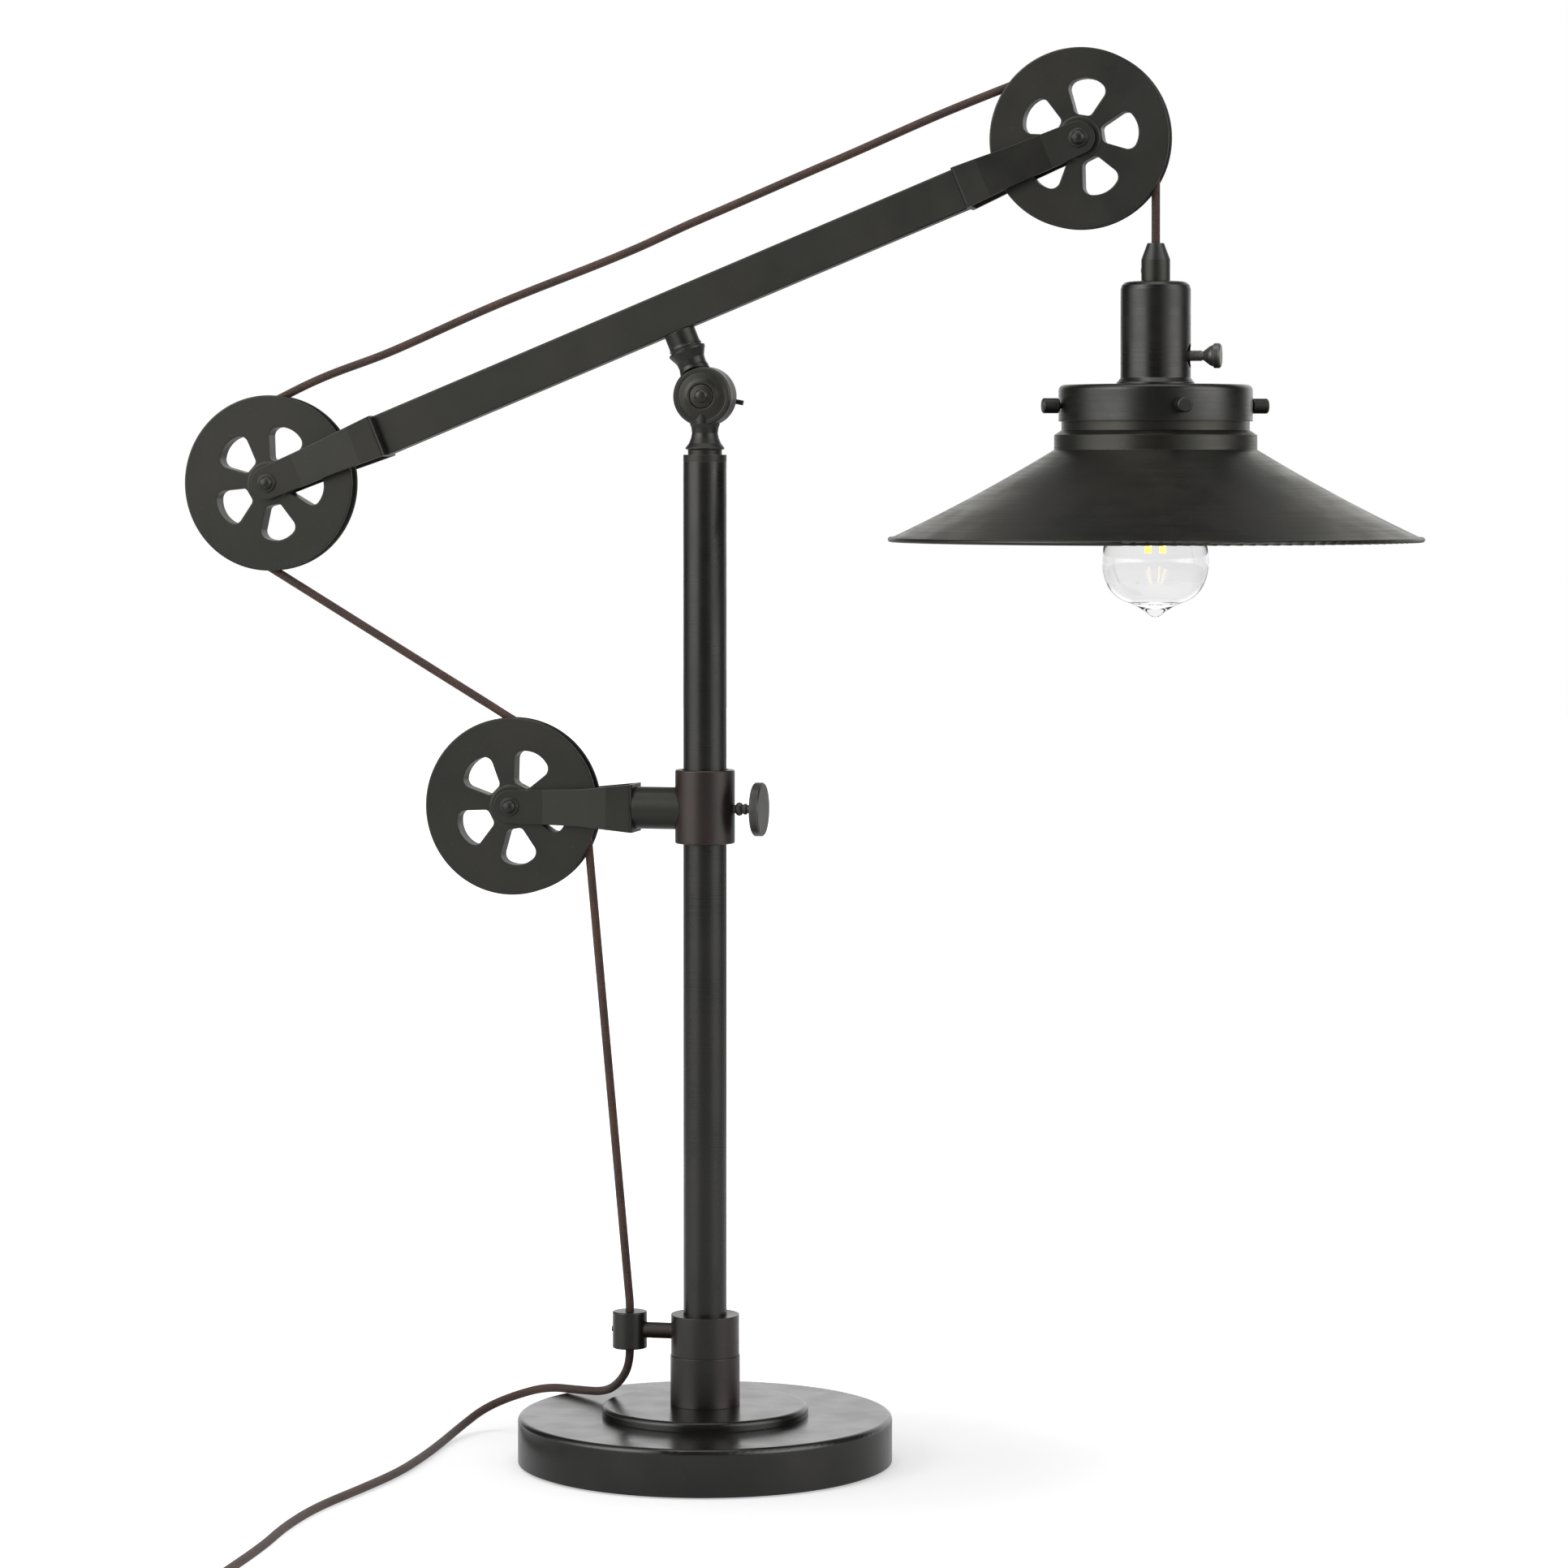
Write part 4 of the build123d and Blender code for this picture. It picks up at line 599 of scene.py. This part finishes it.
SLOT_MATERIALS = {
    "felt": felt,
    "cast_weight": casting,
    "dark_bronze": bronze,
    "brown_bronze": brown_bronze,
    "knob_bronze": knob_bronze,
    "steel": plain_steel,
    "bush_brass": brass,
    "braid": braid,
    "black_plastic": black_plastic,
    "porcelain": porcelain,
    "clear_glass": clear_glass,
    "filament": filament,
    "cap_metal": cap_metal,
    "blade_brass": brass,
}
NODE_MATERIALS = {
    "base_cover": base_bronze,
    "step_disc": step_bronze,
    "post_tube": turned_bronze,
    "socket_cup": turned_bronze,
    "gallery_ring": turned_bronze,
    "shade": shade_bronze,
    "front_pulley": wheel_bronze,
    "rear_pulley": wheel_bronze,
    "middle_pulley": wheel_bronze,
    "cord_clip": turned_bronze,
}


def dress_cad():
    """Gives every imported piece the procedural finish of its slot."""
    for part in frame["record"]["subparts"]:
        piece = frame["nodes"][part["node"]]
        material = NODE_MATERIALS.get(part["node"], SLOT_MATERIALS[part["material_slot"]])
        for spot in piece.material_slots:
            spot.link = "OBJECT"
            spot.material = material


dress_cad()


# Cord on the lamp

BEAM_NORMAL = pi / 2 + BEAM_TILT
AXLE_GAP = (MIDDLE_AXLE - REAR_AXLE).length
AXLE_LINE = atan2(MIDDLE_AXLE.z - REAR_AXLE.z, MIDDLE_AXLE.x - REAR_AXLE.x)
CROSS_ANGLE = AXLE_LINE + asin(2 * CORD_RING / AXLE_GAP)
CROSS_START = on_wheel(REAR_AXLE, CROSS_ANGLE - pi / 2)
CROSS_END = on_wheel(MIDDLE_AXLE, CROSS_ANGLE + pi / 2)
CROSS_HALF = CROSS_START.lerp(CROSS_END, 0.5)
CROSS_TAIL = CROSS_START.lerp(CROSS_END, 0.94)
RISER_KNEE = Vector((CLIP_X, 0, CLIP_TOP + 4 * MM))
RISER_GAP = RISER_KNEE - MIDDLE_AXLE
RISER_ANGLE = atan2(RISER_GAP.z, RISER_GAP.x) + acos(CORD_RING / RISER_GAP.length)
DROP_HALF = Vector((SHADE_X, 0, (FRONT_AXLE.z + RELIEF_TOP) / 2))
RISER_FILLET = 59.94 * MM
RISER_FILLET_STEPS = 10
TURN_SPARE = radians(12)

# Slight waves of the long span, as shares of its length and heights above the straight line
SPAN_WAVES = [
    (0.0, 0.0),
    (0.1, 2.0 * MM),
    (0.19, 0.4 * MM),
    (0.31, 1.2 * MM),
    (0.49, -0.6 * MM),
    (0.57, 0.2 * MM),
    (0.74, 0.6 * MM),
    (0.86, 1.2 * MM),
    (1.0, 0.0),
]


def wave_height(share):
    for (before, low), (after, high) in zip(SPAN_WAVES, SPAN_WAVES[1:]):
        if share <= after:
            turn = pi * (share - before) / (after - before)
            return low + (high - low) * (1 - cos(turn)) / 2
    return 0.0


def span_points(start, end):
    """Long stretch over the beam, which keeps a few slight waves."""
    points = line_points(start, end)
    last = len(points) - 1
    return [
        point + BEAM_UP * wave_height(1 - index / last) for index, point in enumerate(points)
    ]


def riser_points():
    """From the middle wheel down to the clip, with a wide bend over the clip."""
    start = on_wheel(MIDDLE_AXLE, RISER_ANGLE)
    end = Vector((CLIP_X, 0, CLIP_FOOT))
    bend = round_corner(
        (RISER_KNEE.x, RISER_KNEE.z),
        (start.x, start.z),
        (end.x, end.z),
        RISER_FILLET,
        RISER_FILLET_STEPS,
    )
    bend = [Vector((x, 0, z)) for x, z in bend]
    return line_points(start, bend[0])[:-1] + bend[:-1] + line_points(bend[-1], end)


def add_cord(name, points, along, nodes=(), body=None, between=None):
    mesh, length = tube(name, points, along)
    piece = add_object(name, mesh, braid, body)
    if between is not None:
        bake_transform(piece)
    if nodes:
        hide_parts(*nodes)
    return along + length


def dress_taut_cord():
    """Every taut stretch, from the shade back to the clip, one braid running through them all."""
    top = Vector((SHADE_X, 0, FRONT_AXLE.z))
    foot = Vector((SHADE_X, 0, DROP_FOOT))
    front_turn = arc_points(FRONT_AXLE, -TURN_SPARE, BEAM_NORMAL)
    rear_turn = arc_points(REAR_AXLE, BEAM_NORMAL, 1.5 * pi + CROSS_ANGLE)
    middle_turn = arc_points(MIDDLE_AXLE, CROSS_ANGLE + pi / 2, RISER_ANGLE)
    span = span_points(front_turn[-1], rear_turn[0])
    riser = riser_points()
    run = 0.0
    run = add_cord(
        "cord_drop_lower", line_points(foot, DROP_HALF), run, ["drop_cord_lower"],
        between=("drop", "shade"),
    )
    run = add_cord(
        "cord_drop_upper", line_points(DROP_HALF, top), run, ["drop_cord_upper"],
        between=("drop", "drop_top"),
    )
    run = add_cord("cord_front_turn", front_turn, run, ["arm_cord"], body="arm")
    run = add_cord("cord_span", span, run, ["arm_cord"], body="arm")
    run = add_cord(
        "cord_rear_turn", rear_turn, run, ["arm_cord"],
        between=("arm", "cross_swing"),
    )
    run = add_cord(
        "cord_cross_upper", line_points(CROSS_START, CROSS_HALF), run, ["cross_cord_upper"],
        between=("cross_swing", "cross_slip"),
    )
    run = add_cord(
        "cord_cross_lower", line_points(CROSS_HALF, CROSS_TAIL), run, ["cross_cord_lower"],
        between=("cross_slip", "cross_end"),
    )
    run = add_cord(
        "cord_cross_end", line_points(CROSS_TAIL, CROSS_END), run, ["cross_cord_end"],
        body="cross_end",
    )
    run = add_cord("cord_middle_turn", middle_turn, run, ["middle_cord"], body="slider")
    run = add_cord(
        "cord_riser", riser, run, ["riser_cord"],
        between=("slider", "stand"),
    )
    return run


def dress_free_cord(along):
    route = nurbs_points("free_cord_route", free_cord_points())
    mesh, length = tube("cord_free", route, along)
    piece = add_object("cord_free", mesh, braid, "stand")
    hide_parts("cord_tail", "cord_coil")
    print("free cord length", round(length, 4))


free_start = dress_taut_cord()
dress_free_cord(free_start)


# Stage and light

FLOOR_SIZE = 8
FLOOR_DROP = 0.5 * MM
FLOOR_WHITE = (0.8, 0.8, 0.8)
FLOOR_MIRRORED = (0.3, 0.3, 0.3)

# The floor's own glow: weaker under the lamp, where its shadow falls, than away from it
FLOOR_NEAR = 0.13
FLOOR_CLEAR = 0.42
NEAR_GLOW = 0.5

# How much of that glow a mirrored ray finds near the lamp and far from it, and a ray through glass
MIRROR_NEAR = 0.7
MIRROR_FAR = 2.4
MIRROR_NEAR_GLOW = 0.82
MIRROR_FAR_GLOW = 0.22
THROUGH_GLOW = 0.71

# The room that the lamp mirrors. A panel's edges are turns from the front, to the right, in radians
ROOM_LIGHT = 0.40
DARK_ROOM = 0.08
SIDE_PANEL = 4.3
LEFT_PANEL_EDGES = (-1.75, -0.9, -0.62, -0.16)
RIGHT_PANEL_EDGES = (0.65, 1.15, 1.4, 1.95)
BACK_PANEL = 1.3
BACK_FADE = (0.6, 0.95)
OVERHEAD = 0.1
OVERHEAD_FADE = (0.35, 1.0)
HIGH_PANEL = 0.32
HIGH_PANEL_ACROSS = (0.06, 0.18)
HIGH_PANEL_UP = (0.68, 0.8)

# Area lights: place, what they point at, size and power
LIGHTS = {
    "key": ((-1.3, -1.7, 1.6), (0, 0, 0.4), (0.9, 0.9), 9),
    "fill": ((1.5, -1.6, 1.0), (0, 0, 0.4), (0.7, 1.0), 2.0),
    "top": ((0.1, -0.2, 2.2), (0, 0, 0.3), (1.4, 0.8), 10.5),
}


def make_stage():
    """Floor that keeps the shadow round the base and clears to white away from it."""
    mesh = bpy.data.meshes.new("floor")
    build = bmesh.new()
    bmesh.ops.create_grid(build, x_segments=1, y_segments=1, size=FLOOR_SIZE)
    build.to_mesh(mesh)
    build.free()
    graph = Graph("floor", Roughness=0.9, Specular_IOR_Level=0.1)
    ray = graph.add("ShaderNodeLightPath").outputs
    through = ray["Is Transmission Ray"]
    mirrored = graph.math("SUBTRACT", ray["Is Glossy Ray"], through)
    mirrored = graph.math("MAXIMUM", mirrored, 0.0)
    graph.feed(graph.shader.inputs["Base Color"], graph.mix(mirrored, FLOOR_WHITE, FLOOR_MIRRORED))
    reach = graph.add("ShaderNodeVectorMath", {0: graph.place}, operation="LENGTH")
    distance = reach.outputs["Value"]
    glow = graph.spread(distance, FLOOR_NEAR, FLOOR_CLEAR, NEAR_GLOW, 1.0)
    found = graph.spread(distance, MIRROR_NEAR, MIRROR_FAR, MIRROR_NEAR_GLOW, MIRROR_FAR_GLOW)
    share = graph.math("ADD", ray["Is Camera Ray"], graph.math("MULTIPLY", mirrored, found))
    share = graph.math("ADD", share, graph.math("MULTIPLY", through, THROUGH_GLOW))
    graph.feed(graph.shader.inputs["Emission Color"], (1, 1, 1, 1))
    graph.feed(graph.shader.inputs["Emission Strength"], graph.math("MULTIPLY", share, glow))
    floor = add_object("floor", mesh, graph.material)
    floor.location.z = -FLOOR_DROP


class WorldGraph:
    """Short calls for the nodes of the world."""

    def __init__(self, tree):
        self.tree = tree

    def add(self, kind):
        return self.tree.nodes.new(kind)

    def math(self, operation, first, second=0.0):
        node = self.add("ShaderNodeMath")
        node.operation = operation
        for socket, value in zip(node.inputs, (first, second)):
            if isinstance(value, bpy.types.NodeSocket):
                self.tree.links.new(value, socket)
            else:
                socket.default_value = value
        return node.outputs[0]

    def fade(self, value, low, high, to_low, to_high):
        node = self.add("ShaderNodeMapRange")
        node.interpolation_type = "SMOOTHSTEP"
        for socket, setting in zip(node.inputs[1:5], (low, high, to_low, to_high)):
            socket.default_value = setting
        self.tree.links.new(value, node.inputs[0])
        return node.outputs[0]

    def panel(self, turn, edges):
        """Upright panel that fades in between its first two edges and out between the others."""
        begin, full, wane, end = edges
        inward = self.fade(turn, begin, full, 0, 1)
        return self.math("MULTIPLY", inward, self.fade(turn, wane, end, 1, 0))


def mirrored_room(graph):
    """What the lamp mirrors: a light panel on each side, a bright back, and less light overhead."""
    toward = graph.add("ShaderNodeTexCoord").outputs["Generated"]
    parts = graph.add("ShaderNodeSeparateXYZ")
    graph.tree.links.new(toward, parts.inputs[0])
    across, deep, up = parts.outputs
    turn = graph.math("ARCTAN2", across, graph.math("MULTIPLY", deep, -1.0))
    left = graph.panel(turn, LEFT_PANEL_EDGES)
    right = graph.panel(turn, RIGHT_PANEL_EDGES)
    sides = graph.math("MULTIPLY", graph.math("MAXIMUM", left, right), SIDE_PANEL)
    back = graph.fade(deep, *BACK_FADE, 0, BACK_PANEL)
    around = graph.math("MAXIMUM", graph.math("ADD", sides, DARK_ROOM), back)
    around = graph.math("MULTIPLY", around, graph.fade(up, *OVERHEAD_FADE, 1.0, OVERHEAD))
    off_centre = graph.math("ABSOLUTE", across)
    high = graph.fade(off_centre, *HIGH_PANEL_ACROSS, 0, HIGH_PANEL)
    high = graph.math("MULTIPLY", high, graph.fade(up, *HIGH_PANEL_UP, 0, 1))
    return graph.math("ADD", around, high)


def make_world():
    """White where it is seen, even light for the surfaces, and a studio where it is mirrored."""
    world = bpy.data.worlds.new("studio")
    bpy.context.scene.world = world
    world.use_nodes = True
    graph = WorldGraph(world.node_tree)
    background = graph.tree.nodes["Background"]
    background.inputs["Color"].default_value = (1, 1, 1, 1)
    ray = graph.add("ShaderNodeLightPath").outputs
    through = ray["Is Transmission Ray"]
    seen = graph.math("MAXIMUM", ray["Is Camera Ray"], through)
    mirrored = graph.math("MAXIMUM", graph.math("SUBTRACT", ray["Is Glossy Ray"], through), 0.0)
    strength = graph.math("ADD", ROOM_LIGHT, graph.math("MULTIPLY", seen, 1 - ROOM_LIGHT))
    more = graph.math("SUBTRACT", mirrored_room(graph), ROOM_LIGHT)
    strength = graph.math("ADD", strength, graph.math("MULTIPLY", mirrored, more))
    graph.tree.links.new(strength, background.inputs["Strength"])


def add_light(name, place, toward, size, power):
    data = bpy.data.lights.new(name, "AREA")
    data.shape = "RECTANGLE"
    data.size, data.size_y = size
    data.energy = power
    light = bpy.data.objects.new(name, data)
    light.location = place
    aim = Vector(toward) - Vector(place)
    light.rotation_euler = aim.to_track_quat("-Z", "Y").to_euler()
    light.visible_camera = False
    bpy.context.scene.collection.objects.link(light)


make_stage()
make_world()
for light_name, setting in LIGHTS.items():
    add_light(light_name, *setting)

bpy.context.scene.view_settings.view_transform = "Standard"
bpy.context.view_layer.update()
